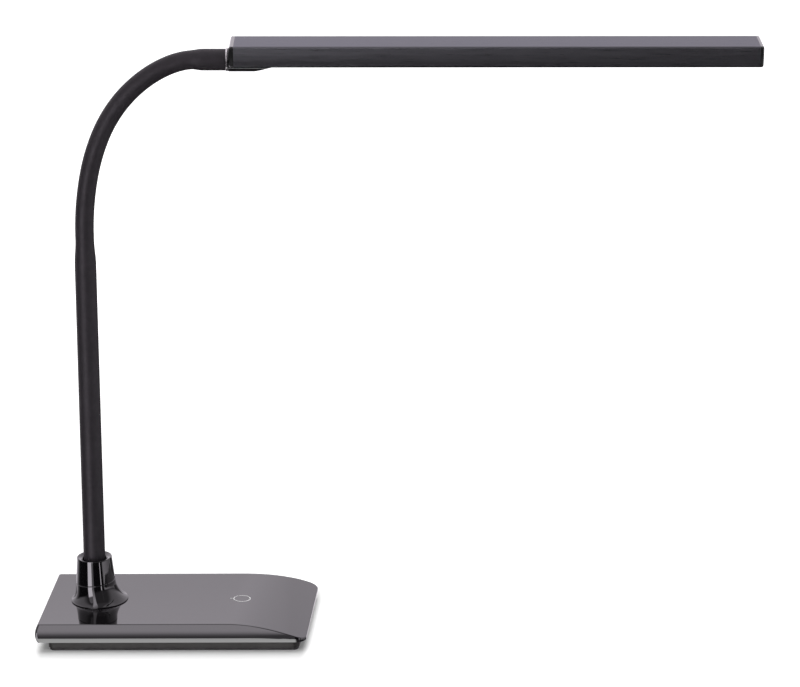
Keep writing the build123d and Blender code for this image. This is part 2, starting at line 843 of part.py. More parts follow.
# ---- swivel ----
with BuildPart() as neck_ferrule:
    extrude(disc(head_section(0), ferrule_radius), amount=ferrule_length)
    chamfer(neck_ferrule.edges(), ferrule_bevel)
    extrude(disc(head_section(0), spigot_radius + snug), amount=ferrule_length, mode=Mode.SUBTRACT)
save(neck_ferrule.part, "neck_ferrule")

clip_start = spigot_reach - clip_back - clip_thickness
with BuildPart() as head_spigot:
    extrude(disc(head_section(-spigot_tail), spigot_radius), amount=spigot_tail + spigot_reach)
    with BuildSketch(head_section(clip_start)):
        Circle(spigot_radius)
        Circle(spigot_radius - clip_depth, mode=Mode.SUBTRACT)
    extrude(amount=clip_thickness, mode=Mode.SUBTRACT)
    extrude(
        disc(head_section(-spigot_tail), core_bore),
        amount=spigot_tail + spigot_reach,
        mode=Mode.SUBTRACT,
    )
save(head_spigot.part, "head_spigot")

with BuildPart() as spigot_clip:
    with BuildSketch(head_section(clip_start + snug)):
        Circle(clip_radius)
        Circle(spigot_radius - clip_depth + snug, mode=Mode.SUBTRACT)
        with Locations((0, clip_radius / 2)):
            Rectangle(spigot_radius, clip_radius, mode=Mode.SUBTRACT)
    extrude(amount=clip_thickness - 2 * snug)
save(spigot_clip.part, "spigot_clip")


# ---- head: outline and channel ----
def head_outline(plane, inset=0):
    """Outer section of the head: flat top, creased sides that tuck in to a narrower sole."""
    half_width = head_half_width - inset
    sole = sole_half_width - inset
    top = head_top - inset
    bottom = head_bottom + inset
    edge = half_width - head_edge
    foot = half_width - face_tuck
    bulge = half_width - face_tuck / 3
    crease_level = head_top - face_crease
    foot_level = head_top - face_foot + inset / 2
    roll_level = (foot_level + bottom) / 2
    with BuildSketch(plane) as outline:
        with BuildLine():
            Line((-edge, top), (edge, top))
            Line((-sole, bottom), (sole, bottom))
            for side in (-1, 1):
                RadiusArc((side * edge, top), (side * half_width, top - head_edge), side * head_edge)
                Line((side * half_width, top - head_edge), (side * half_width, crease_level))
                ThreePointArc(
                    (side * half_width, crease_level),
                    (side * bulge, (crease_level + foot_level) / 2),
                    (side * foot, foot_level),
                )
                ThreePointArc(
                    (side * foot, foot_level), (side * (foot - sole_roll), roll_level), (side * sole, bottom)
                )
        make_face()
    return outline.sketch


def head_cap(inner, outer):
    """An end plate from its seat to its outside face, which is bevelled all round."""
    bevel_start = outer - cap_bevel if outer > inner else outer + cap_bevel
    with BuildPart() as cap:
        loft([head_outline(head_section(inner)), head_outline(head_section(bevel_start))])
        loft([head_outline(head_section(bevel_start)), head_outline(head_section(outer), cap_bevel)])
    return cap.part


def slot(plane, half_width, bottom, top):
    """A rectangle across the head, centred on it."""
    with BuildSketch(plane) as face:
        with Locations((0, (bottom + top) / 2)):
            Rectangle(2 * half_width, top - bottom)
    return face.sketch


lip_top = head_bottom + lip_thickness
groove_top = lip_top + groove_height
guide_top = groove_top + groove_height

with BuildPart() as head_housing:
    face = head_section(housing_start)
    extrude(head_outline(face), amount=housing_length)
    extrude(
        slot(face, mouth_half_width, head_bottom, channel_top),
        amount=housing_length, mode=Mode.SUBTRACT,
    )
    extrude(
        slot(face, channel_half_width, lip_top, groove_top),
        amount=housing_length, mode=Mode.SUBTRACT,
    )
    extrude(
        slot(face, channel_half_width, guide_top, channel_top),
        amount=housing_length, mode=Mode.SUBTRACT,
    )
    with BuildSketch(face):
        with Locations(*port_spots):
            Circle(port_radius)
    extrude(amount=housing_length)
    with BuildSketch(face):
        with Locations(*port_spots):
            Circle(port_bore)
    extrude(amount=housing_length, mode=Mode.SUBTRACT)
save(head_housing.part, "head_housing")

with BuildPart() as inner_cap:
    add(head_cap(housing_start, cap_start))
    extrude(disc(head_section(cap_start), socket_radius + snug), amount=cap_thickness, mode=Mode.SUBTRACT)
    with BuildSketch(head_section(cap_start)):
        with Locations(*port_spots):
            Circle(cap_screw_radius + snug)
    extrude(amount=cap_thickness, mode=Mode.SUBTRACT)
    with BuildSketch(head_section(cap_start)):
        with Locations(*port_spots):
            Circle(cap_screw_head + slip)
    extrude(amount=cap_screw_head_height, mode=Mode.SUBTRACT)
save(inner_cap.part, "inner_cap")

with BuildPart() as outer_cap:
    add(head_cap(housing_end, housing_end + outer_cap_thickness))
    with BuildSketch(head_section(housing_end)):
        with Locations(*port_spots):
            Circle(cap_screw_radius + snug)
    extrude(amount=outer_cap_thickness, mode=Mode.SUBTRACT)
    with BuildSketch(head_section(housing_end + outer_cap_thickness)):
        with Locations(*port_spots):
            Circle(cap_screw_head + slip)
    extrude(amount=-cap_screw_head_height, mode=Mode.SUBTRACT)
save(outer_cap.part, "outer_cap")

with BuildPart() as cap_screws:
    for outside, inward in ((cap_start, 1), (housing_end + outer_cap_thickness, -1)):
        with BuildSketch(head_section(outside)):
            with Locations(*port_spots):
                Circle(cap_screw_head)
        extrude(amount=inward * cap_screw_head_height)
        with BuildSketch(head_section(outside)):
            with Locations(*port_spots):
                Circle(cap_screw_radius)
        extrude(amount=inward * cap_screw_length)
save(cap_screws.part, "cap_screws")

# ---- bracket under the inner end of the head ----
socket_bore_end = clip_start - slip
pocket_end = spigot_reach + 3 * slip
with BuildPart() as head_bracket:
    extrude(disc(head_section(socket_start), socket_radius), amount=bracket_end - socket_start)
    nose_ring = head_bracket.faces().sort_by(Axis(head_origin, head_along))[0]
    chamfer(nose_ring.edges(), ferrule_bevel)
    face = head_section(housing_start)
    extrude(
        slot(face, mouth_half_width - slip, head_bottom, head_bottom + bracket_height),
        amount=bracket_length,
    )
    extrude(slot(face, channel_half_width - slip, lip_top + slip, groove_top - slip), amount=bracket_length)
    with BuildSketch(head_side):
        with BuildLine():
            Polyline(
                (ramp_start, -socket_radius),
                (ramp_start + ramp_length, head_bottom),
                (bracket_end + over, head_bottom),
                (bracket_end + over, -socket_radius - over),
                (ramp_start, -socket_radius - over),
                (ramp_start, -socket_radius),
            )
        make_face()
    extrude(amount=socket_radius + over, both=True, mode=Mode.SUBTRACT)
    extrude(
        disc(head_section(socket_start), spigot_radius + snug),
        amount=socket_bore_end - socket_start,
        mode=Mode.SUBTRACT,
    )
    extrude(
        disc(head_section(socket_bore_end), clip_radius + 3 * slip),
        amount=pocket_end - socket_bore_end,
        mode=Mode.SUBTRACT,
    )
    extrude(
        slot(head_section(pocket_end), 2 * cable_radius, -cable_radius - slip, head_top),
        amount=bracket_end - pocket_end,
        mode=Mode.SUBTRACT,
    )
save(head_bracket.part, "head_bracket")

# ---- light source ----
led_board_start = bracket_end - led_board_overlap
led_board_length = housing_end - led_board_start - slip
led_rows = int((led_board_length - 2 * led_end_margin) / led_pitch)
led_middle = led_board_start + led_board_length / 2
led_face = channel_top - led_board_thickness

with BuildPart() as led_board:
    with BuildSketch(head_level(led_face)):
        with Locations((led_middle, 0)):
            Rectangle(led_board_length, 2 * led_board_half_width)
    extrude(amount=led_board_thickness)
    with BuildSketch(head_level(led_face)):
        with Locations((led_board_start + terminal_length / 2, 0)):
            Rectangle(terminal_length, terminal_width)
    extrude(amount=-terminal_height)
save(led_board.part, "led_board")

with BuildPart() as led_chips:
    with BuildSketch(head_level(led_face)):
        with Locations((led_middle, 0)):
            with GridLocations(led_pitch, 0, led_rows, 1):
                Rectangle(led_length, led_width)
    extrude(amount=-led_height)
save(led_chips.part, "led_chips")

with BuildPart() as diffuser:
    face = head_section(bracket_end + slip)
    diffuser_length = housing_end - bracket_end - 2 * slip
    extrude(slot(face, mouth_half_width - slip, head_bottom, groove_top - slip), amount=diffuser_length)
    extrude(slot(face, channel_half_width - slip, lip_top + slip, groove_top - slip), amount=diffuser_length)
save(diffuser.part, "diffuser")

# ---- lead inside the neck, from the control board to the lamp board ----
terminal_height_in_head = led_face - terminal_height / 2
dip_level = floor_top + cable_radius + 2 * slip
with BuildPart() as neck_cable:
    with BuildLine(Plane.XZ) as base_run:
        FilletPolyline(
            (board_rear, terminal_level),
            (window_length - window_rear - 2 * cable_radius, terminal_level),
            (window_length / 2 - 2 * cable_radius, dip_level),
            (0, dip_level),
            (0, shoulder_bottom),
            radius=cable_bend,
        )
    with BuildLine(head_side) as head_run:
        FilletPolyline(
            (0, 0),
            (spigot_reach + 2 * cable_radius, 0),
            (led_board_start - 2 * cable_radius, terminal_height_in_head),
            (led_board_start, terminal_height_in_head),
            radius=cable_bend,
        )
    neck_run = neck_wire(shoulder_bottom, neck_end)
    route = Wire(base_run.line.edges() + neck_run.edges() + head_run.line.edges())
    sweep(disc(Plane(route @ 0, z_dir=route % 0), cable_radius), path=route)
save(neck_cable.part, "neck_cable")
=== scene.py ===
import json
from math import cos, degrees, pi, radians, sin, sqrt

import bmesh
import bpy
from mathutils import Matrix, Vector


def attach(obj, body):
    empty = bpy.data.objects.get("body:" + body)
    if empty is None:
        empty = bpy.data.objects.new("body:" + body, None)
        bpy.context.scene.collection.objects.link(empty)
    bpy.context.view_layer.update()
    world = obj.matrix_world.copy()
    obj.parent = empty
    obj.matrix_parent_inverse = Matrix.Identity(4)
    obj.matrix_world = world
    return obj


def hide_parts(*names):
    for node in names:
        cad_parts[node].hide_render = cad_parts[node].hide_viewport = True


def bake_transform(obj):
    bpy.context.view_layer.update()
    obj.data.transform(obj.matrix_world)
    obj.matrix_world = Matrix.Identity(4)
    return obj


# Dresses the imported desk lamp. Metres, in the part's own frame: +X from the neck towards the
# nose of the base, +Z up, the origin on the underside below the foot of the neck.

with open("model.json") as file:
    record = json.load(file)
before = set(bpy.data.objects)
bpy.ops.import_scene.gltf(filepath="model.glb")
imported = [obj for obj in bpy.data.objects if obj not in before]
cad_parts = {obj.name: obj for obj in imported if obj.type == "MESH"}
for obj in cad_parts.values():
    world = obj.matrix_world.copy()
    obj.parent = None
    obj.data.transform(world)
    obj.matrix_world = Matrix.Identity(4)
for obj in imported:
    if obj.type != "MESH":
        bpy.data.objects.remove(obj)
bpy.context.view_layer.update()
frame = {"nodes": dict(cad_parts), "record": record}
nodes = frame["nodes"]
slot_of = {row["node"]: row["material_slot"] for row in frame["record"]["subparts"]}
MM = 0.001

# ---- sizes of the dressed pieces, the same as in the solids where those have them ----
SHELL_BOTTOM = 7.0 * MM
SHELL_TOP = 19.9 * MM
SHELL_WALL = 2.5 * MM
REAR = -35.6 * MM
NOSE = 158.0 * MM
NOSE_START = 100.6 * MM
NOSE_RADIUS = 157.94 * MM
TOP_HALF_WIDTH = 51.0 * MM
SIDE_BULGE = 3.7 * MM
SIDE_TUCK = 0.6 * MM
END_BULGE = 1.9 * MM
END_TUCK = 1.5 * MM
REAR_CORNER = 1.5 * MM
NOSE_CORNER = 7.0 * MM
CREASE = 0.5 * MM
RIM_WIDTH = 3.8 * MM
INLET_LEVEL = 12.8 * MM
INLET_RADIUS = 4.05 * MM
TOUCH_REACH = 107.0 * MM
TOUCH_RADIUS = 5.95 * MM
TOUCH_LINE = 0.8 * MM
TOUCH_TICK = 2.9 * MM
TOUCH_DEPTH = 0.4 * MM
TOUCH_PROUD = 0.02 * MM
TOP_BORDER = 0.35 * MM

SEAM_LEVEL = SHELL_TOP + 14.8 * MM
SEAM_TILT = radians(4.0)
SEAM_BEVEL = 0.35 * MM
COLLAR_BORE = 10.1 * MM
CUP_TOP = SHELL_TOP + 33.2 * MM
CUP_TOP_RADIUS = 12.65 * MM
CUP_RIM = 0.7 * MM
CUP_DISH = 0.9 * MM
CUP_WEB = 3.0 * MM
CUP_ROUND = 0.22 * MM
STEM_HOLE = 8.7 * MM
FOOT_RADIUS = 20.8 * MM
FOOT_LIP = 0.9 * MM
FOOT_ROUND = 0.4 * MM
# height above the flat top, radius, offset towards the nose
FLARE = [
    (level * MM, radius * MM, offset * MM)
    for level, radius, offset in (
        (0.9, 20.3, 2.3), (2.6, 18.3, 1.79), (5.6, 16.4, 1.1), (9.6, 15.1, 0.39), (13.4, 14.48, 0),
        (33.2, 12.65, 0),
    )
]

NECK_AZIMUTH = radians(4.1)
ROOT_LENGTH = 44.0 * MM
LEAN_LENGTH = 15.2 * MM
STEM_LEAN = radians(1.45)
STEM_LENGTH = 237.0 * MM
BENDS = [length * MM for length in (43.5, 29.5, 20.5, 19.0, 18.5, 15.5, 11.0, 8.5)]
HEAD_PITCH = radians(91.7)
END_LENGTH = 21.0 * MM
STEM_RADIUS = 7.9 * MM
STEM_TOP_RADIUS = 7.7 * MM
FLEX_RADIUS = 6.7 * MM
END_RADIUS = 7.65 * MM
TAPER_LENGTH = 18.0 * MM
TAPER_GAP = 4.0 * MM
STEP_EARLY = 4.0 * MM
STEP_LENGTH = 9.0 * MM
SLEEVE_BORE = 4.7 * MM
SPIGOT_TAIL = 12.1 * MM
SPIGOT_BORE = 5.05 * MM
CABLE_RADIUS = 1.6 * MM

FLEX_START = ROOT_LENGTH + LEAN_LENGTH + STEM_LENGTH
FLEX_END = FLEX_START + sum(BENDS)
NECK_END = FLEX_END + END_LENGTH
TAPER_END = FLEX_START - TAPER_GAP
TAPER_START = TAPER_END - TAPER_LENGTH
STEP_START = FLEX_END - STEP_EARLY
BEND_TURN = (HEAD_PITCH - STEM_LEAN) / len(BENDS)
NECK_RUNS = [(ROOT_LENGTH, 0), (LEAN_LENGTH, STEM_LEAN), (STEM_LENGTH, 0)]
NECK_RUNS += [(length, BEND_TURN) for length in BENDS] + [(END_LENGTH, 0)]


# ---- small mesh tools ----
SHARP = 35.0  # degrees; an edge is sharp where its faces meet at more than this
SHELL_SHARP = 30.0


def mesh_object(name, points, faces, sharp=SHARP):
    """A mesh from points and faces, smooth except where faces meet at more than sharp degrees."""
    mesh = bpy.data.meshes.new(name)
    mesh.from_pydata([tuple(point) for point in points], [], faces)
    mesh.validate()
    outward = bmesh.new()
    outward.from_mesh(mesh)
    bmesh.ops.recalc_face_normals(outward, faces=outward.faces)
    outward.to_mesh(mesh)
    outward.free()
    mesh.shade_smooth()
    mesh.set_sharp_from_angle(angle=radians(sharp))
    made = bpy.data.objects.new(name, mesh)
    bpy.context.scene.collection.objects.link(made)
    return made


def faces_between(near, far, count):
    """Faces between two rings of count points, given the number of each ring's first point."""
    rights = [(k + 1) % count for k in range(count)]
    return [(near + k, near + right, far + right, far + k) for k, right in enumerate(rights)]


def looped(name, rings):
    """A closed skin through rings of equal length; the last ring joins the first."""
    count = len(rings[0])
    starts = [row * count for row in range(len(rings))]
    faces = []
    for near, far in zip(starts, starts[1:] + starts[:1]):
        faces += faces_between(near, far, count)
    return mesh_object(name, [point for ring in rings for point in ring], faces)


def capped(name, rings):
    """A skin through rings of equal length, closed by a flat face at each end."""
    count = len(rings[0])
    starts = [row * count for row in range(len(rings))]
    faces = [tuple(reversed(range(count)))]
    for near, far in zip(starts, starts[1:]):
        faces += faces_between(near, far, count)
    faces.append(tuple(range(starts[-1], starts[-1] + count)))
    return mesh_object(name, [point for ring in rings for point in ring], faces)


def full_turn(count):
    """Angles at equal steps round a full turn."""
    return [2 * pi * k / count for k in range(count)]


def stations(start, end, spacing):
    """Places from start to end, about this far apart."""
    count = max(2, round((end - start) / spacing) + 1)
    return [start + (end - start) * k / (count - 1) for k in range(count)]


def smoothstep(value):
    value = max(0.0, min(1.0, value))
    return value * value * (3 - 2 * value)


def arc_through(a, b, c):
    """Centre and radius of the circle through three (u, v) points."""
    (ax, ay), (bx, by), (cx, cy) = a, b, c
    d = 2 * (ax * (by - cy) + bx * (cy - ay) + cx * (ay - by))
    ux = ((ax**2 + ay**2) * (by - cy) + (bx**2 + by**2) * (cy - ay) + (cx**2 + cy**2) * (ay - by)) / d
    uy = ((ax**2 + ay**2) * (cx - bx) + (bx**2 + by**2) * (ax - cx) + (cx**2 + cy**2) * (bx - ax)) / d
    return (ux, uy), sqrt((ax - ux) ** 2 + (ay - uy) ** 2)


# ---- the neck's centreline ----
def neck_state(distance):
    """Reach, height and lean from vertical, this far along the neck."""
    reach, height, lean, left = 0.0, 0.0, 0.0, distance
    for length, turn in NECK_RUNS:
        step = min(left, length)
        swing = turn * step / length
        if turn:
            radius = length / turn
            reach += radius * (cos(lean) - cos(lean + swing))
            height += radius * (sin(lean + swing) - sin(lean))
        else:
            reach += step * sin(lean)
            height += step * cos(lean)
        lean += swing
        left -= step
        if left <= 0:
            break
    return reach + left * sin(lean), height + left * cos(lean), lean


ahead = Vector((cos(NECK_AZIMUTH), sin(NECK_AZIMUTH), 0))
aside = Vector((-sin(NECK_AZIMUTH), cos(NECK_AZIMUTH), 0))
UP = Vector((0, 0, 1))


def neck_spot(distance):
    """The point of the centreline this far along the neck."""
    reach, height = neck_state(distance)[:2]
    return ahead * reach + UP * height


def neck_axes(distance):
    """Along the neck, and towards the outside of its curve."""
    lean = neck_state(distance)[2]
    return ahead * sin(lean) + UP * cos(lean), UP * sin(lean) - ahead * cos(lean)


def neck_ring(distance, radius, count=64):
    """A ring round the neck, this far along it."""
    along, out = neck_axes(distance)
    centre = neck_spot(distance)
    return [centre + (aside * cos(turn) + out * sin(turn)) * radius for turn in full_turn(count)]


def sleeve_radius(distance):
    """Outer radius of the rubber sleeve: the stem, the slimmer flexible part and the end."""
    taper = smoothstep((distance - TAPER_START) / TAPER_LENGTH)
    step = smoothstep((distance - STEP_START) / STEP_LENGTH)
    share = (distance - ROOT_LENGTH) / (TAPER_START - ROOT_LENGTH)
    stem = STEM_RADIUS + (STEM_TOP_RADIUS - STEM_RADIUS) * min(1.0, max(0.0, share))
    flexible = stem + (FLEX_RADIUS - stem) * taper
    return flexible + (END_RADIUS - flexible) * step


# ---- materials ----
def node(tree, kind, **settings):
    made = tree.nodes.new(kind)
    for name, value in settings.items():
        setattr(made, name, value)
    return made


class Finish:
    """A Principled material whose textures are laid out in the part's own coordinates."""

    def __init__(self, name, colour, roughness, metallic=0.0, **sockets):
        self.material = bpy.data.materials.new(name)
        self.material.use_nodes = True
        self.tree = self.material.node_tree
        self.shader = self.tree.nodes["Principled BSDF"]
        self.shader.inputs["Base Color"].default_value = (*colour, 1)
        self.shader.inputs["Roughness"].default_value = roughness
        self.shader.inputs["Metallic"].default_value = metallic
        for socket, value in sockets.items():
            self.shader.inputs[socket.replace("_", " ")].default_value = value
        self.place = node(self.tree, "ShaderNodeTexCoord").outputs["Object"]
        self.heights = None

    def link(self, source, target):
        self.tree.links.new(source, target)

    def stretched(self, along, across, along_scale, across_scale):
        """Coordinates stretched along one direction, for drawn and brushed grain."""
        parts = []
        third = along.cross(across)
        for direction, scale in ((along, along_scale), (across, across_scale), (third, across_scale)):
            dot = node(self.tree, "ShaderNodeVectorMath", operation="DOT_PRODUCT")
            dot.inputs[1].default_value = direction * scale
            self.link(self.place, dot.inputs[0])
            parts.append(dot.outputs["Value"])
        joined = node(self.tree, "ShaderNodeCombineXYZ")
        for part, socket in zip(parts, joined.inputs):
            self.link(part, socket)
        return joined.outputs[0]

    def noise(self, scale, detail, roughness=0.5, place=None):
        made = node(self.tree, "ShaderNodeTexNoise")
        made.inputs["Scale"].default_value = scale
        made.inputs["Detail"].default_value = detail
        made.inputs["Roughness"].default_value = roughness
        self.link(place or self.place, made.inputs["Vector"])
        return made.outputs[0]

    def cells(self, scale):
        made = node(self.tree, "ShaderNodeTexVoronoi")
        made.inputs["Scale"].default_value = scale
        self.link(self.place, made.inputs["Vector"])
        return made.outputs["Distance"]

    def spread(self, value, low, high, from_low=0.3, from_high=0.7):
        """The value on a scale of its own: from_low becomes low, and from_high becomes high."""
        made = node(self.tree, "ShaderNodeMapRange")
        self.link(value, made.inputs["Value"])
        made.inputs["From Min"].default_value = from_low
        made.inputs["From Max"].default_value = from_high
        made.inputs["To Min"].default_value = low
        made.inputs["To Max"].default_value = high
        return made.outputs["Result"]

    def colours(self, value, first, second):
        """Base colour that runs from first to second with the value."""
        mix = node(self.tree, "ShaderNodeMix", data_type="RGBA")
        self.link(value, mix.inputs["Factor"])
        mix.inputs["A"].default_value = (*first, 1)
        mix.inputs["B"].default_value = (*second, 1)
        self.link(mix.outputs["Result"], self.shader.inputs["Base Color"])

    def rough(self, value, low, high):
        self.link(self.spread(value, low, high), self.shader.inputs["Roughness"])

    def bump(self, value, depth, strength):
        """Adds one layer of relief, depth in metres, over the layers before it."""
        made = node(self.tree, "ShaderNodeBump")
        made.inputs["Strength"].default_value = strength
        made.inputs["Distance"].default_value = depth
        self.link(value, made.inputs["Height"])
        if self.heights is not None:
            self.link(self.heights, made.inputs["Normal"])
        self.heights = made.outputs["Normal"]
        self.link(self.heights, self.shader.inputs["Normal"])


def rubber_finish():
    """The neck's sleeve: fine grain on soft, slightly uneven rubber."""
    finish = Finish("neck_rubber", (0.017, 0.015, 0.0175), 0.58, Specular_IOR_Level=0.17)
    cloud = finish.noise(scale=90, detail=4)
    finish.colours(finish.spread(cloud, 0, 1), (0.014, 0.012, 0.0145), (0.0205, 0.018, 0.021))
    finish.rough(finish.noise(scale=420, detail=4), 0.44, 0.6)
    finish.bump(finish.noise(scale=2600, detail=3), depth=0.06 * MM, strength=0.5)
    finish.bump(cloud, depth=0.12 * MM, strength=0.3)
    return finish.material


def gloss_finish(name, colour, smudge=0.05):
    """Polished plastic; smudge is the roughness where it's least clean."""
    finish = Finish(name, colour, 0.03, Specular_IOR_Level=0.5)
    haze = finish.noise(scale=24, detail=5, roughness=0.6)
    finish.colours(finish.spread(haze, 0, 1), colour, tuple(1.25 * part for part in colour))
    finish.rough(haze, 0.02, smudge)
    finish.bump(finish.noise(scale=38, detail=2), depth=0.12 * MM, strength=0.05)
    return finish.material


def moulded_finish(name, colour, roughness, grain=1500, shine=0.5):
    """Plain moulded plastic: fine spark-eroded grain and a little unevenness."""
    finish = Finish(name, colour, roughness, Specular_IOR_Level=shine)
    cloud = finish.noise(scale=55, detail=4)
    finish.colours(finish.spread(cloud, 0, 1), tuple(0.86 * part for part in colour), colour)
    finish.rough(finish.noise(scale=300, detail=3), roughness - 0.08, roughness + 0.08)
    finish.bump(finish.cells(scale=grain), depth=0.08 * MM, strength=0.35)
    return finish.material


def metal_finish(name, colour, roughness, drawn=None, edge=(1, 1, 1, 1)):
    """Metal with streaks along its drawn direction; edge tints what it mirrors at a low angle."""
    finish = Finish(name, colour, roughness, metallic=1.0, Specular_Tint=edge)
    if drawn:
        place = finish.stretched(drawn, aside, along_scale=40, across_scale=2600)
        streaks = finish.noise(scale=1.0, detail=4, roughness=0.6, place=place)
    else:
        streaks = finish.noise(scale=700, detail=4)
    finish.colours(finish.spread(streaks, 0, 1), tuple(0.9 * part for part in colour), colour)
    finish.rough(streaks, roughness * 0.88, roughness * 1.12)
    finish.bump(streaks, depth=0.012 * MM, strength=0.2)
    return finish.material


def diffuser_finish():
    """Opal plastic that lets light spread a few millimetres inside it."""
    depth = 4 * MM
    finish = Finish(
        "opal_diffuser", (0.86, 0.86, 0.84), 0.32,
        Subsurface_Weight=0.35, Subsurface_Radius=(depth, depth, depth), Subsurface_Scale=1.0,
    )
    cloud = finish.noise(scale=40, detail=3)
    finish.colours(finish.spread(cloud, 0, 1), (0.83, 0.83, 0.81), (0.88, 0.88, 0.86))
    finish.bump(finish.cells(scale=900), depth=0.05 * MM, strength=0.3)
    return finish.material


def board_finish():
    """Pale solder mask with slightly raised tracks below it."""
    finish = Finish("solder_mask", (0.72, 0.73, 0.7), 0.35)
    noise = finish.noise(scale=260, detail=1, roughness=0.2)
    tracks = finish.spread(noise, 0, 1, from_low=0.48, from_high=0.52)
    finish.colours(tracks, (0.66, 0.68, 0.65), (0.76, 0.77, 0.74))
    finish.bump(tracks, depth=0.04 * MM, strength=0.5)
    return finish.material


head_along, head_up = neck_axes(NECK_END)
materials = {
    "shell": gloss_finish("gloss_black", (0.004, 0.0035, 0.0042)),
    "collar": gloss_finish("collar_gloss", (0.0025, 0.0022, 0.0026)),
    "plinth": moulded_finish("plinth_plastic", (0.026, 0.0245, 0.024), 0.42, shine=0.1),
    "pad": moulded_finish("pad_rubber", (0.012, 0.012, 0.012), 0.75, grain=900),
    "ballast": metal_finish("ballast_steel", (0.32, 0.31, 0.3), 0.5),
    "steel": metal_finish("plated_steel", (0.46, 0.45, 0.45), 0.2),
    "mark": moulded_finish("touch_mark", (0.62, 0.62, 0.62), 0.35, grain=3000),
    "foil": metal_finish("copper_foil", (0.8, 0.45, 0.28), 0.3),
    "board": board_finish(),
    "parts": moulded_finish("component_black", (0.03, 0.03, 0.03), 0.5),
    "socket": moulded_finish("inlet_black", (0.015, 0.015, 0.015), 0.45),
    "lead": moulded_finish("lead_jacket", (0.02, 0.02, 0.02), 0.5, grain=1200),
    "neck_rubber": rubber_finish(),
    "bush": moulded_finish("bush_acetal", (0.75, 0.74, 0.7), 0.4),
    "bracket": gloss_finish("bracket_gloss", (0.006, 0.006, 0.0065)),
    "cap": gloss_finish("cap_gloss", (0.012, 0.012, 0.0125), smudge=0.1),
    "anodised": metal_finish(
        "anodised_charcoal", (0.088, 0.09, 0.095), 0.3, drawn=head_along, edge=(0.66, 0.66, 0.7, 1)
    ),
    "emitter": moulded_finish("phosphor", (0.85, 0.72, 0.18), 0.45, grain=5000),
    "diffuser": diffuser_finish(),
}
for name, cad_node in nodes.items():
    cad_node.data.materials.clear()
    cad_node.data.materials.append(materials[slot_of[name]])


def dress(piece, body, slot, *replaced):
    """Finishes a piece: its material, the body it rides on and the solids it stands for."""
    piece.data.materials.append(materials[slot])
    if replaced:
        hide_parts(*replaced)
    if body:
        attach(piece, body)
    return piece


# ---- base shell: one smooth moulding ----
SHELL_MIDDLE = (SHELL_BOTTOM + SHELL_TOP) / 2
HALF_WIDTH = TOP_HALF_WIDTH + SIDE_BULGE
REAR_SHARES = (0, 0.04, 0.08, 0.12, 0.2, 0.45, 0.75)  # of the way from the middle to the corner
REAR_CORNER_STEPS = 6
REAR_EDGE = 0.5 * MM
SIDE_START = REAR + 8 * MM
SIDE_SPACING = 12 * MM
NOSE_SPACING = 1.6 * MM
NOSE_CORNER_STEPS = 14
LEAST_CORNER = 0.5 * MM  # inside the shell, where the inset leaves less
WALL_STEPS = 8
CREASE_STEPS = 6
INLET_CUT = (REAR - 8 * MM, -25 * MM)  # from behind the rear wall to the inside
side_arc = arc_through(
    (TOP_HALF_WIDTH, SHELL_TOP), (HALF_WIDTH, SHELL_MIDDLE), (HALF_WIDTH - SIDE_TUCK, SHELL_BOTTOM)
)
rear_arc = arc_through(
    (-REAR, SHELL_TOP),
    (-REAR + END_BULGE, SHELL_MIDDLE),
    (-REAR + END_BULGE - END_TUCK, SHELL_BOTTOM),
)


def bulge(arc, level):
    (centre, height), radius = arc
    return centre + sqrt(radius**2 - (level - height) ** 2)


def nose_fall(x):
    """How far the top surface has fallen towards the nose."""
    past = max(0.0, x - NOSE_START)
    return NOSE_RADIUS - sqrt(NOSE_RADIUS**2 - past**2)


def top_level(x):
    return SHELL_TOP - nose_fall(x)


def shell_spots():
    """Half the outline from the middle of the rear round to the nose: kind and place."""
    spots = [("rear", share) for share in REAR_SHARES]
    spots += [("rear_corner", k / REAR_CORNER_STEPS) for k in range(REAR_CORNER_STEPS + 1)]
    spots.append(("rear_edge", REAR_EDGE))
    spots += [("side", x) for x in stations(SIDE_START, NOSE_START, SIDE_SPACING)]
    spots += [("side", x) for x in stations(NOSE_START, NOSE - NOSE_CORNER - MM, NOSE_SPACING)[1:]]
    spots += [("nose_corner", k / NOSE_CORNER_STEPS) for k in range(NOSE_CORNER_STEPS + 1)]
    return spots


def shell_point(spot, level, inset):
    """Where a spot of the outline lies at this level, moved in by inset."""
    kind, place = spot
    half = min(bulge(side_arc, level), HALF_WIDTH) - inset
    rear = max(-bulge(rear_arc, level), REAR - END_BULGE) + inset
    if kind == "rear":
        return rear, (half - REAR_CORNER) * place
    if kind == "rear_corner":
        turn = pi - place * pi / 2
        x = rear + REAR_CORNER + REAR_CORNER * cos(turn)
        return x, half - REAR_CORNER + REAR_CORNER * sin(turn)
    if kind == "rear_edge":
        return rear + REAR_CORNER + place, half
    if kind == "side":
        return place, half
    corner = max(LEAST_CORNER, NOSE_CORNER - inset)
    turn = pi / 2 - place * pi / 2
    return NOSE - inset - corner + corner * cos(turn), half - corner + corner * sin(turn)


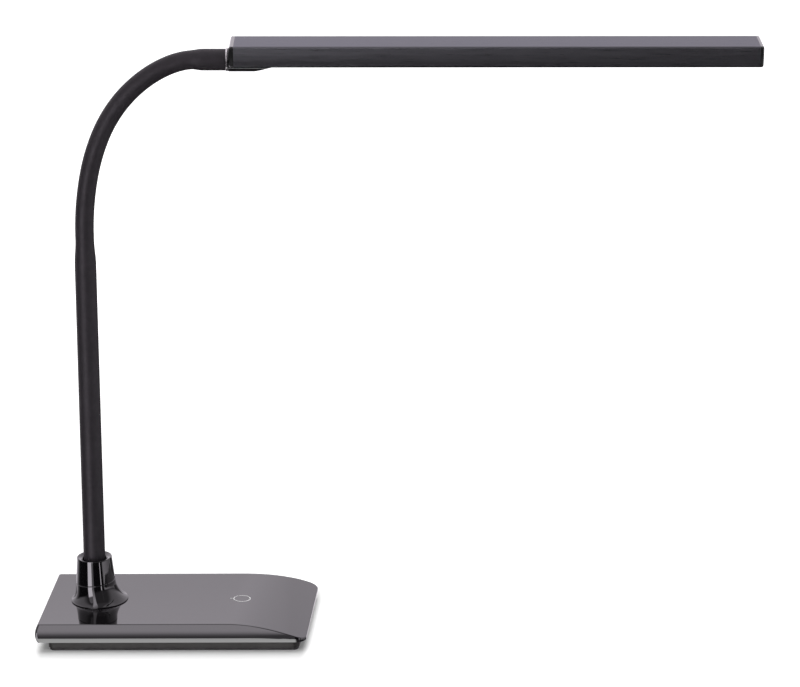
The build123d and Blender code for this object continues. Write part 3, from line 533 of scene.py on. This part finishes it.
def shell_rows(inset, sink):
    """Rings of the shell from its rim up to the edge of its top, moved in and down by these."""
    half = shell_spots()
    spots = [(spot, 1) for spot in half] + [(spot, -1) for spot in reversed(half[1:])]
    rows = []

    def ring(level_of, more_inset=0.0):
        made = []
        for spot, side in spots:
            x = shell_point(spot, SHELL_TOP - sink, inset + more_inset)[0]
            level = level_of(top_level(x) - sink)
            x, y = shell_point(spot, level, inset + more_inset)
            made.append(Vector((x, side * y, level)))
        return made

    for k in range(WALL_STEPS + 1):
        share = k / WALL_STEPS
        rows.append(ring(lambda crown: SHELL_BOTTOM + (crown - CREASE - SHELL_BOTTOM) * share))
    # the rounded crease between the wall and the top
    below, above = rows[-1], ring(lambda crown: crown, CREASE)
    corner = ring(lambda crown: crown)
    for k in range(1, CREASE_STEPS + 1):
        t = k / CREASE_STEPS
        rows.append(
            [
                a * (1 - t) ** 2 + c * 2 * t * (1 - t) + b * t**2
                for a, c, b in zip(below, corner, above)
            ]
        )
    # one more ring, so that only a narrow border of the flat top shades towards the round
    rows.append(ring(lambda crown: crown, CREASE + TOP_BORDER))
    return rows


def shell_lid(count, start):
    """Faces across the top surface, between mirrored spots of its edge."""
    half = (count + 1) // 2
    kinds = [spot[0] for spot in shell_spots()]
    first_side = kinds.index("side")
    faces = [[start + k % count for k in range(-first_side, first_side + 1)]]
    for k in range(first_side, half - 1):
        faces.append([start + i % count for i in (-k, k, k + 1, -k - 1)])
    return faces


def base_shell():
    outer = shell_rows(0, 0)
    inner = shell_rows(RIM_WIDTH, SHELL_WALL)
    count = len(outer[0])
    inner_start = len(outer) * count
    points = [point for ring in outer + inner for point in ring]
    faces = []
    for start, rows, inward in ((0, outer, False), (inner_start, inner, True)):
        skin = []
        for row in range(len(rows) - 1):
            skin += faces_between(start + row * count, start + (row + 1) * count, count)
        skin += shell_lid(count, start + (len(rows) - 1) * count)
        faces += skin if inward else [face[::-1] for face in skin]
    faces += faces_between(0, inner_start, count)
    return mesh_object("base_shell_skin", points, faces, SHELL_SHARP)


def cut(piece, cutter):
    """Cuts one closed mesh out of another, for good."""
    modifier = piece.modifiers.new("cut", "BOOLEAN")
    modifier.operation = "DIFFERENCE"
    modifier.solver = "EXACT"
    modifier.object = cutter
    bpy.context.view_layer.update()
    evaluated = piece.evaluated_get(bpy.context.evaluated_depsgraph_get())
    result = bpy.data.meshes.new_from_object(evaluated)
    piece.modifiers.clear()
    piece.data = result
    bpy.data.objects.remove(cutter)
    result.shade_smooth()
    result.set_sharp_from_angle(angle=radians(SHELL_SHARP))


def rod(name, start, end, radius, count=48):
    """A plain round rod between two points."""
    along = (end - start).normalized()
    across = along.orthogonal().normalized()
    other = along.cross(across)
    spokes = [(across * cos(turn) + other * sin(turn)) * radius for turn in full_turn(count)]
    return capped(name, [[centre + spoke for spoke in spokes] for centre in (start, end)])


def touch_mark(count=96):
    """The inlaid ring with its tick, as one closed band that stands a hair proud."""
    half = TOUCH_LINE / 2
    outer, inner = TOUCH_RADIUS + half, TOUCH_RADIUS - half
    open_turn = pi - half / outer
    turns = [open_turn * (2 * k / (count - 1) - 1) for k in range(count)]
    outline = [(outer * cos(turn), outer * sin(turn)) for turn in turns]
    # the tick's round end, and as many spots of the hole behind it
    tip = TOUCH_RADIUS + TOUCH_TICK
    for turn in (pi / 2, pi / 4, 0, -pi / 4, -pi / 2):
        outline.append((-tip + half * (1 - cos(turn)), half * sin(turn)))
    turns += [open_turn + (pi - open_turn) * share for share in (0.33, 0.67, 1, 1.33, 1.67)]
    hole = [(inner * cos(turn), inner * sin(turn)) for turn in turns]
    rings = []
    for loop, level in (
        (outline, SHELL_TOP - TOUCH_DEPTH),
        (outline, SHELL_TOP + TOUCH_PROUD),
        (hole, SHELL_TOP + TOUCH_PROUD),
        (hole, SHELL_TOP - TOUCH_DEPTH),
    ):
        places = [(TOUCH_REACH + x, y) for x, y in loop]
        rings.append([Vector((x, y, level - nose_fall(x))) for x, y in places])
    return looped("touch_mark", rings)


dress(touch_mark(), "base", "mark", "touch_ring")
shell_skin = base_shell()
cut_start, cut_end = [Vector((reach, 0, INLET_LEVEL)) for reach in INLET_CUT]
cut(shell_skin, rod("bore", cut_start, cut_end, INLET_RADIUS))
dress(shell_skin, "base", "shell", "base_shell")


# ---- collar: two turned pieces that meet at a tilted seam ----
FOOT_STEPS = 8
FLARE_STEPS = 40
FLARE_EASE = 1.6  # above 1, so that the rings lie closer together near the foot
CUP_STEPS = 12
CUP_ROUND_STEPS = 5


def flare_slopes(column):
    """Slope of one column of the flare at each of its rows."""
    steps = [(far[column] - near[column]) / (far[0] - near[0]) for near, far in zip(FLARE, FLARE[1:])]
    inner = [(before + after) / 2 for before, after in zip(steps, steps[1:])]
    inner[-1] = steps[-1]
    return [1.5 * steps[0] - 0.5 * inner[0]] + inner + [steps[-1]]


FLARE_SLOPES = [None, flare_slopes(1), flare_slopes(2)]


def flare_at(level):
    """Radius and offset of the collar's outside at a height above the flat top."""
    row = max(k for k in range(len(FLARE) - 1) if k == 0 or FLARE[k][0] <= level)
    near, far = FLARE[row], FLARE[row + 1]
    span = far[0] - near[0]
    t = (level - near[0]) / span
    found = []
    for column in (1, 2):
        slopes = FLARE_SLOPES[column]
        found.append(
            near[column] * (1 + 2 * t) * (1 - t) ** 2
            + slopes[row] * span * t * (1 - t) ** 2
            + far[column] * t**2 * (3 - 2 * t)
            + slopes[row + 1] * span * t**2 * (t - 1)
        )
    return found


COLLAR_TURNS = full_turn(128)
SEAM_RADIUS = flare_at(SEAM_LEVEL - SHELL_TOP)[0]
SEAM_SLOPE = sin(SEAM_TILT) / cos(SEAM_TILT)


def flat_ring(radius, level, offset=0.0):
    return [Vector((offset + radius * cos(a), radius * sin(a), level)) for a in COLLAR_TURNS]


def seam_level(turn, above=0.0, radius=SEAM_RADIUS):
    """Height of the tilted seam at this turn and radius, moved up by above."""
    return SEAM_LEVEL + radius * cos(turn) * SEAM_SLOPE + above


def seam_ring(radius):
    """A ring that lies in the tilted plane of the seam."""
    return [
        Vector((radius * cos(a), radius * sin(a), seam_level(a, radius=radius))) for a in COLLAR_TURNS
    ]


def outside_ring(share, low_level, high_level):
    """A ring on the outside, this share of the way between two heights that vary round it."""
    made = []
    for a in COLLAR_TURNS:
        level = low_level(a) + (high_level(a) - low_level(a)) * share
        radius, offset = flare_at(level - SHELL_TOP)
        made.append(Vector((offset + radius * cos(a), radius * sin(a), level)))
    return made


def collar_flange_piece():
    rings = [flat_ring(COLLAR_BORE, SHELL_TOP)]
    foot_offset = FLARE[0][2]
    for k in range(FOOT_STEPS + 1):
        a = (k / FOOT_STEPS - 0.5) * pi
        radius = FOOT_RADIUS - FOOT_ROUND + FOOT_ROUND * cos(a)
        rings.append(flat_ring(radius, SHELL_TOP + FOOT_LIP / 2 * (1 + sin(a)), foot_offset))
    for k in range(1, FLARE_STEPS + 1):
        share = (k / FLARE_STEPS) ** FLARE_EASE
        rings.append(
            outside_ring(share, lambda a: SHELL_TOP + FOOT_LIP, lambda a: seam_level(a, -SEAM_BEVEL))
        )
    rings += [seam_ring(SEAM_RADIUS - SEAM_BEVEL), seam_ring(COLLAR_BORE)]
    return looped("collar_flange_turned", rings)


def collar_cup_piece():
    rings = [seam_ring(COLLAR_BORE), seam_ring(SEAM_RADIUS - SEAM_BEVEL)]
    for k in range(CUP_STEPS + 1):
        share = k / CUP_STEPS
        rings.append(
            outside_ring(share, lambda a: seam_level(a, SEAM_BEVEL), lambda a: CUP_TOP - CUP_ROUND)
        )
    for k in range(1, CUP_ROUND_STEPS + 1):
        a = k / CUP_ROUND_STEPS * pi / 2
        radius = CUP_TOP_RADIUS - CUP_ROUND + CUP_ROUND * cos(a)
        rings.append(flat_ring(radius, CUP_TOP - CUP_ROUND + CUP_ROUND * sin(a)))
    # over the rim, down into the dish and through the hole for the stem
    rim = CUP_TOP_RADIUS - CUP_RIM
    hole_top = CUP_TOP - CUP_DISH
    for radius, level in (
        (rim + CUP_ROUND / 2, CUP_TOP),
        (rim - CUP_ROUND / 2, CUP_TOP - CUP_ROUND / 4),
        (STEM_HOLE + CUP_ROUND, hole_top),
        (STEM_HOLE, hole_top - CUP_ROUND),
        (STEM_HOLE, hole_top - CUP_WEB),
        (COLLAR_BORE, hole_top - CUP_WEB),
    ):
        rings.append(flat_ring(radius, level))
    return looped("collar_cup_turned", rings)


dress(collar_flange_piece(), "base", "collar", "collar_flange")
dress(collar_cup_piece(), "base", "collar", "collar_cup")


# ---- neck: a smooth sleeve, in pieces that each span one joint ----
ROOT_GAP = 0.1 * MM
STEM_SPACING = 3.0 * MM
TAPER_SPACING = 0.6 * MM
FLEX_SPACING = 1.5 * MM
END_SPACING = 0.75 * MM
END_ROUND = 0.4 * MM
FIRST_EDGE = FLEX_START + 8 * MM
LAST_EDGE = FLEX_END + 1.5 * MM
BLEND_REACH = 8 * MM  # to each side of a joint, how far its span reaches
SWAYS_AFTER = (1, 2, 4)  # bends that are followed by a sway joint
LINK_COUNT = 10


def sleeve(name, start, end, spacing=FLEX_SPACING, extra=()):
    """A stretch of the sleeve with its bore, with rings at the spacing and at the extra spots."""
    spots = set(stations(start, end, spacing)) | {spot for spot in extra if start < spot < end}
    outer = [neck_ring(spot, sleeve_radius(spot)) for spot in sorted(spots)]
    inner = [neck_ring(spot, SLEEVE_BORE) for spot in sorted(spots, reverse=True)]
    return looped(name, outer + inner)


bend_spots = [FLEX_START + sum(BENDS[:number]) + length / 2 for number, length in enumerate(BENDS)]
sway_spots = [FLEX_START + sum(BENDS[:number]) for number in SWAYS_AFTER]
joint_spots = sorted(bend_spots + sway_spots)
middles = [(near + far) / 2 for near, far in zip(joint_spots, joint_spots[1:])]
edges = [FIRST_EDGE] + middles + [LAST_EDGE]
blend_spans = [
    (max(spot - BLEND_REACH, start), min(spot + BLEND_REACH, end))
    for spot, start, end in zip(joint_spots, edges, edges[1:])
]

taper_marks = stations(TAPER_START, TAPER_END, TAPER_SPACING)
stem_piece = sleeve("stem_rubber", ROOT_LENGTH + ROOT_GAP, edges[0], STEM_SPACING, taper_marks)
dress(stem_piece, "stem", "neck_rubber", "stem_sleeve")
for number, (near, far) in enumerate(blend_spans):
    piece = sleeve(f"neck_rubber_{number + 1:02}", edges[number], edges[number + 1])
    replaced = [f"link_sleeve_{number + 1:02}"] if number < LINK_COUNT else []
    dress(piece, None, "neck_rubber", *replaced)
    neck_spot(near)
    neck_spot(far)
    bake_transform(piece)

end_spots = stations(edges[-1], NECK_END - END_ROUND, END_SPACING)
end_rings = [neck_ring(spot, sleeve_radius(spot)) for spot in end_spots]
for distance, radius in (
    (NECK_END - END_ROUND / 4, END_RADIUS - END_ROUND / 4),
    (NECK_END, END_RADIUS - END_ROUND),
    (NECK_END, SPIGOT_BORE),
    (NECK_END - SPIGOT_TAIL, SPIGOT_BORE),
    (NECK_END - SPIGOT_TAIL, SLEEVE_BORE),
    (edges[-1], SLEEVE_BORE),
):
    end_rings.append(neck_ring(distance, radius))
dress(looped("end_rubber", end_rings), "neck_end", "neck_rubber", "end_sleeve")

# ---- the lead inside the neck: it follows the sleeve, in the same stretches ----
BOARD_REAR = 88.0 * MM
LEAD_LEVEL = 11.1 * MM
LEAD_DIP = 5.3 * MM
LEAD_RISE = 22.1 * MM
LEAD_SPACING = 2.0 * MM
LAMP_BOARD_START = 37.95 * MM
LAMP_BOARD_LEAD = 8.1 * MM
# from the control board back to the middle of the collar: reach and height
BASE_LEAD = (
    (BOARD_REAR, LEAD_LEVEL), (54 * MM, LEAD_LEVEL), (28 * MM, LEAD_LEVEL), (17 * MM, LEAD_DIP),
    (7 * MM, LEAD_DIP), (0, LEAD_DIP), (0, 12 * MM), (0, LEAD_RISE),
)
# from the end of the neck to the lamp board: along the neck's end and up from it
HEAD_LEAD = (
    (0, 0), (12 * MM, 0), (23 * MM, 0), (33 * MM, LAMP_BOARD_LEAD), (LAMP_BOARD_START, LAMP_BOARD_LEAD),
)


def lead_curve(name, body, points):
    """A round lead along one smooth curve, with closed ends."""
    curve = bpy.data.curves.new(name, "CURVE")
    curve.dimensions = "3D"
    curve.bevel_depth = CABLE_RADIUS
    curve.bevel_resolution = 4
    curve.use_fill_caps = True
    spline = curve.splines.new("NURBS")
    spline.points.add(len(points) - 1)
    for spline_point, point in zip(spline.points, points):
        spline_point.co = (*point, 1)
    spline.order_u = 3
    spline.use_endpoint_u = True
    spline.resolution_u = 10
    made = bpy.data.objects.new(name, curve)
    bpy.context.scene.collection.objects.link(made)
    return dress(made, body, "lead")


def lead_piece(name, start, end):
    spots = stations(start, end, LEAD_SPACING)
    return capped(name, [neck_ring(spot, CABLE_RADIUS, count=20) for spot in spots])


lead_curve("lead_in_base", "base", [(reach, 0, height) for reach, height in BASE_LEAD])
dress(lead_piece("lead_in_stem", LEAD_RISE, edges[0]), "stem", "lead", "neck_cable")
for number, (near, far) in enumerate(blend_spans):
    piece = dress(lead_piece(f"lead_{number + 1:02}", edges[number], edges[number + 1]), None, "lead")
    neck_spot(near)
    neck_spot(far)
    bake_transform(piece)
dress(lead_piece("lead_in_neck_end", edges[-1], NECK_END), "neck_end", "lead")
head_origin = neck_spot(NECK_END)
head_points = [head_origin + head_along * reach + head_up * rise for reach, rise in HEAD_LEAD]
lead_curve("lead_in_head", "head", head_points)


# ---- studio: sums in its node trees ----
class Sums:
    """Sums in one node tree, on its sockets and on plain numbers."""

    def __init__(self, tree):
        self.tree = tree

    def sum(self, operation, *values):
        """One maths node."""
        made = node(self.tree, "ShaderNodeMath", operation=operation)
        for value, socket in zip(values, made.inputs):
            if isinstance(value, (int, float)):
                socket.default_value = value
            else:
                self.tree.links.new(value, socket)
        return made.outputs[0]

    def fold(self, operation, first, *others):
        """The same operation over all the values, from the first to the last."""
        total = first
        for other in others:
            total = self.sum(operation, total, other)
        return total

    def product(self, *values):
        return self.fold("MULTIPLY", *values)

    def ramp(self, value, start, end, low, high):
        """Runs smoothly from low to high as the value goes from start to end."""
        made = node(self.tree, "ShaderNodeMapRange", interpolation_type="SMOOTHSTEP")
        self.tree.links.new(value, made.inputs["Value"])
        made.inputs["From Min"].default_value = start
        made.inputs["From Max"].default_value = end
        made.inputs["To Min"].default_value = low
        made.inputs["To Max"].default_value = high
        return made.outputs["Result"]

    def window(self, value, low, high, soft):
        """1 between low and high and 0 outside, with edges this soft."""
        rise = self.ramp(value, low - soft, low + soft, 0, 1)
        return self.product(rise, self.ramp(value, high - soft, high + soft, 1, 0))


# ---- studio: the floor, of white paper ----
STAGE_REACH = 9.0
PAPER = 0.72
FLOOR_GLOW = 0.62
# a painted shadow: the camera glow at the base's edge, where it starts inside that edge, and its reach
PAINTED_SHADOW_GLOW = 0.04
PAINTED_SHADOW_START = 4 * MM
PAINTED_SHADOW_REACH = 28 * MM
FAR_GLOW = 0.35
FAR_START, FAR_END = 0.1, 0.9
# the base's span on each axis, and how fast the painted shadow fades past it, against its reach
PAINTED_SHADOW_SPANS = (("X", REAR, NOSE, 3.2), ("Y", -HALF_WIDTH, HALF_WIDTH, 0.85))
# the reflector: from, to and the softness of its edges
REFLECTOR = 7.0
REFLECTOR_X = (REAR - 20 * MM, NOSE - NOSE_CORNER, 2 * MM)
REFLECTOR_Y = (-HALF_WIDTH - 22 * MM, -HALF_WIDTH - 2.5 * MM, MM)


def floor_paper():
    """Paper that glows for the camera alone, less so close to the base: a painted shadow, laid over the
    cast one.

    The gloss sees through it, all but a bright reflector just in front of the base.
    """
    paper = bpy.data.materials.new("studio_floor")
    paper.use_nodes = True
    tree = paper.node_tree
    tree.nodes.clear()
    sums = Sums(tree)
    rays = node(tree, "ShaderNodeLightPath")
    spot = node(tree, "ShaderNodeSeparateXYZ")
    tree.links.new(node(tree, "ShaderNodeNewGeometry").outputs["Position"], spot.inputs[0])

    # the glow, by the distance from the base: lower close to it, a painted shadow
    squares = []
    for axis, low, high, fade in PAINTED_SHADOW_SPANS:
        offset = sums.sum("ABSOLUTE", sums.sum("SUBTRACT", spot.outputs[axis], (low + high) / 2))
        past = sums.sum("SUBTRACT", offset, (high - low) / 2 - PAINTED_SHADOW_START)
        past = sums.sum("MAXIMUM", past, 0.0)
        squares.append(sums.sum("POWER", sums.product(past, fade), 2.0))
    away = sums.sum("SQRT", sums.sum("ADD", *squares))
    painted_shadow_glow = sums.ramp(away, 0, PAINTED_SHADOW_REACH, PAINTED_SHADOW_GLOW, FLOOR_GLOW)
    far_glow = sums.ramp(away, FAR_START, FAR_END, 0, FAR_GLOW)
    glow = node(tree, "ShaderNodeEmission")
    glow.inputs["Color"].default_value = (1, 1, 1, 1)
    shown = sums.product(rays.outputs["Is Camera Ray"], sums.sum("ADD", painted_shadow_glow, far_glow))
    tree.links.new(shown, glow.inputs["Strength"])
    lit = node(tree, "ShaderNodeBsdfDiffuse")
    lit.inputs["Color"].default_value = (PAPER, PAPER, PAPER, 1)
    total = node(tree, "ShaderNodeAddShader")
    tree.links.new(lit.outputs[0], total.inputs[0])
    tree.links.new(glow.outputs[0], total.inputs[1])

    # what the gloss sees of it
    clear = node(tree, "ShaderNodeBsdfTransparent")
    reflector = node(tree, "ShaderNodeEmission")
    reflector.inputs["Strength"].default_value = REFLECTOR
    inside = sums.product(
        sums.window(spot.outputs["X"], *REFLECTOR_X), sums.window(spot.outputs["Y"], *REFLECTOR_Y)
    )
    mirrored = node(tree, "ShaderNodeMixShader")
    tree.links.new(inside, mirrored.inputs[0])
    tree.links.new(clear.outputs[0], mirrored.inputs[1])
    tree.links.new(reflector.outputs[0], mirrored.inputs[2])

    chosen = node(tree, "ShaderNodeMixShader")
    tree.links.new(rays.outputs["Is Glossy Ray"], chosen.inputs[0])
    tree.links.new(total.outputs[0], chosen.inputs[1])
    tree.links.new(mirrored.outputs[0], chosen.inputs[2])
    surface = node(tree, "ShaderNodeOutputMaterial")
    tree.links.new(chosen.outputs[0], surface.inputs["Surface"])
    return paper


floor = mesh_object(
    "floor",
    [(x * STAGE_REACH, y * STAGE_REACH, 0) for x, y in ((-1, -1), (1, -1), (1, 1), (-1, 1))],
    [(0, 1, 2, 3)],
)
floor.data.materials.append(floor_paper())

# ---- studio: the world round it ----
# Bearings are degrees from the front, positive to the right; around is a bearing without its sign.
# Heights are degrees above the level. X is that of the direction, from -1 to 1.
# A ramp says from, to and the values there. A window says from, to and the softness of its edges.
FRONT = radians(-80.4)
ROOM_LIGHT = 0.42
CAMERA_WHITE = 1.0
GLOSS_TINT = (1, 0.94, 1.02, 1)

BACKDROP_AROUND = (104, 146, 0.03, 1.55)
BACKDROP_FOOT = (-42, -26, 0.05, 1)
BACKDROP_SHADE = (-0.2, 0.12, 1.03, 0.84)  # over X
BACKDROP_STEP = (20.3, 22.0, 0.87, 1.05)
GAP_BEARINGS = (118, 156, 4)  # a dark window low in the backdrop
GAP_TOP = (12, 17, 0.85, 0)

OVERHEAD_FOOT = (-40, 34, 0, 1)
OVERHEAD_TOP = (66, 96, 1, 0)
OVERHEAD_AROUND = (70, 110, 4.4, 0)
OVERHEAD_WIDTH = (-0.27, -0.06, 0.03)  # a window over X
CEILING_FOOT = (42, 64, 0, 1.7)
CEILING_AROUND = (60, 110, 0.3, 1)

PANEL_HEIGHTS = (-34, 48, 5)
LOW_PANEL_TOP = (-3, 5, 1, 0.06)
STRIP = 9.5
STRIP_BEARINGS = (-47, -24, 1.5)
STRIP_TOP = (6, 13, STRIP, 0.16 * STRIP)
THIN_LINE = 8.0
THIN_LINE_BEARINGS = (27.5, 31.5, 0.8)
SIDE_CARD_BEARINGS = (46, 118, 3)
SIDE_CARD_FADE = (50, 110, 2.6, 0.9)

ROOM_AROUND = (50, 85, 0.3, 1.3)
ROOM_FOOT = (-2, 9, 0, 1)
LOW_FRONT_HEIGHTS = (-80, -30, 6)
LOW_FRONT_AROUND = (60, 100, 0.22, 0)


def gloss_view(sums, facing):
    """What the gloss sees in each direction: the brightest of a backdrop and some panels."""
    x, y, z = facing.outputs
    toward = sums.sum("ADD", sums.product(x, cos(FRONT)), sums.product(y, sin(FRONT)))
    sideward = sums.sum("ADD", sums.product(x, -sin(FRONT)), sums.product(y, cos(FRONT)))
    bearing = sums.product(sums.sum("ARCTAN2", sideward, toward), degrees(1))
    height = sums.product(sums.sum("ARCSINE", z), degrees(1))
    around = sums.sum("ABSOLUTE", bearing)

    gap = sums.product(sums.window(bearing, *GAP_BEARINGS), sums.ramp(height, *GAP_TOP))
    backdrop = sums.product(
        sums.ramp(around, *BACKDROP_AROUND),
        sums.ramp(height, *BACKDROP_FOOT),
        sums.ramp(x, *BACKDROP_SHADE),
        sums.ramp(height, *BACKDROP_STEP),
        sums.sum("SUBTRACT", 1.0, gap),
    )
    overhead = sums.product(
        sums.ramp(height, *OVERHEAD_FOOT),
        sums.ramp(height, *OVERHEAD_TOP),
        sums.ramp(around, *OVERHEAD_AROUND),
        sums.window(x, *OVERHEAD_WIDTH),
    )
    ceiling = sums.product(sums.ramp(height, *CEILING_FOOT), sums.ramp(around, *CEILING_AROUND))
    level = sums.window(height, *PANEL_HEIGHTS)
    low = sums.product(level, sums.ramp(height, *LOW_PANEL_TOP))
    strip = sums.product(
        sums.window(bearing, *STRIP_BEARINGS), level, sums.ramp(height, *STRIP_TOP)
    )
    thin_line = sums.product(sums.window(bearing, *THIN_LINE_BEARINGS), low, THIN_LINE)
    side_card = sums.product(
        sums.window(bearing, *SIDE_CARD_BEARINGS), low, sums.ramp(bearing, *SIDE_CARD_FADE)
    )
    room = sums.product(sums.ramp(around, *ROOM_AROUND), sums.ramp(height, *ROOM_FOOT))
    low_front = sums.product(
        sums.window(height, *LOW_FRONT_HEIGHTS), sums.ramp(around, *LOW_FRONT_AROUND)
    )
    return sums.fold(
        "MAXIMUM", backdrop, overhead, strip, thin_line, side_card, ceiling, room, low_front
    )


def studio_world():
    """White for the camera, the panels for the gloss, and an even light for all the rest."""
    world = bpy.data.worlds.new("studio")
    world.use_nodes = True
    tree = world.node_tree
    tree.nodes.clear()
    rays = node(tree, "ShaderNodeLightPath")
    facing = node(tree, "ShaderNodeSeparateXYZ")
    tree.links.new(node(tree, "ShaderNodeTexCoord").outputs["Generated"], facing.inputs[0])
    gloss = node(tree, "ShaderNodeMix", data_type="FLOAT")
    tree.links.new(rays.outputs["Is Glossy Ray"], gloss.inputs["Factor"])
    gloss.inputs["A"].default_value = ROOM_LIGHT
    tree.links.new(gloss_view(Sums(tree), facing), gloss.inputs["B"])
    whole = node(tree, "ShaderNodeMix", data_type="FLOAT")
    tree.links.new(rays.outputs["Is Camera Ray"], whole.inputs["Factor"])
    tree.links.new(gloss.outputs[0], whole.inputs["A"])
    whole.inputs["B"].default_value = CAMERA_WHITE
    tint = node(tree, "ShaderNodeMix", data_type="RGBA")
    tree.links.new(rays.outputs["Is Glossy Ray"], tint.inputs["Factor"])
    tint.inputs["A"].default_value = (1, 1, 1, 1)
    tint.inputs["B"].default_value = GLOSS_TINT
    sky = node(tree, "ShaderNodeBackground")
    tree.links.new(tint.outputs["Result"], sky.inputs["Color"])
    tree.links.new(whole.outputs[0], sky.inputs["Strength"])
    surface = node(tree, "ShaderNodeOutputWorld")
    tree.links.new(sky.outputs[0], surface.inputs["Surface"])
    return world


bpy.context.scene.world = studio_world()

# ---- studio: lamps, which the gloss doesn't mirror ----
LAMP_AIM = Vector((0.15, 0.0, 0.2))


def softbox(name, place, width, height, power):
    """A rectangular studio lamp that faces LAMP_AIM."""
    lamp = bpy.data.lights.new(name, "AREA")
    lamp.shape = "RECTANGLE"
    lamp.size, lamp.size_y = width, height
    lamp.energy = power
    made = bpy.data.objects.new(name, lamp)
    bpy.context.scene.collection.objects.link(made)
    made.location = place
    made.rotation_euler = (LAMP_AIM - Vector(place)).to_track_quat("-Z", "Y").to_euler()
    made.visible_glossy = False


softbox("key_left", (-1.6, -1.5, 1.2), width=0.5, height=1.4, power=15)
softbox("fill_right", (1.9, -1.2, 1.0), width=0.4, height=1.4, power=11)
softbox("top", (0.2, 0.3, 2.2), width=1.6, height=1.2, power=22)

# ---- camera, at the angle of the photograph ----
PICTURE_WIDTH = 800
FOCAL_PIXELS = 3630
SENSOR = 36.0
YAW, PITCH, ROLL = radians(4.34), radians(17.23), radians(-1.75)
CAMERA_PLACE = Vector((0.4152, -2.4621, 0.9795))
CLIP_START, CLIP_END = 0.1, 50.0
lens = bpy.data.cameras.new("camera")
lens.sensor_fit = "HORIZONTAL"
lens.sensor_width = SENSOR
lens.lens = FOCAL_PIXELS * SENSOR / PICTURE_WIDTH
lens.clip_start, lens.clip_end = CLIP_START, CLIP_END
camera = bpy.data.objects.new("camera", lens)
bpy.context.scene.collection.objects.link(camera)
forward = Vector((-sin(YAW) * cos(PITCH), cos(YAW) * cos(PITCH), -sin(PITCH)))
level_right = Vector((cos(YAW), sin(YAW), 0))
level_up = level_right.cross(forward)
right = level_right * cos(ROLL) + level_up * sin(ROLL)
above = level_up * cos(ROLL) - level_right * sin(ROLL)
turn = Matrix((right, above, -forward)).transposed().to_4x4()
camera.matrix_world = Matrix.Translation(CAMERA_PLACE) @ turn
bpy.context.scene.camera = camera
bpy.context.scene.view_settings.view_transform = "Standard"

# ---- the end ----
bpy.context.view_layer.update()
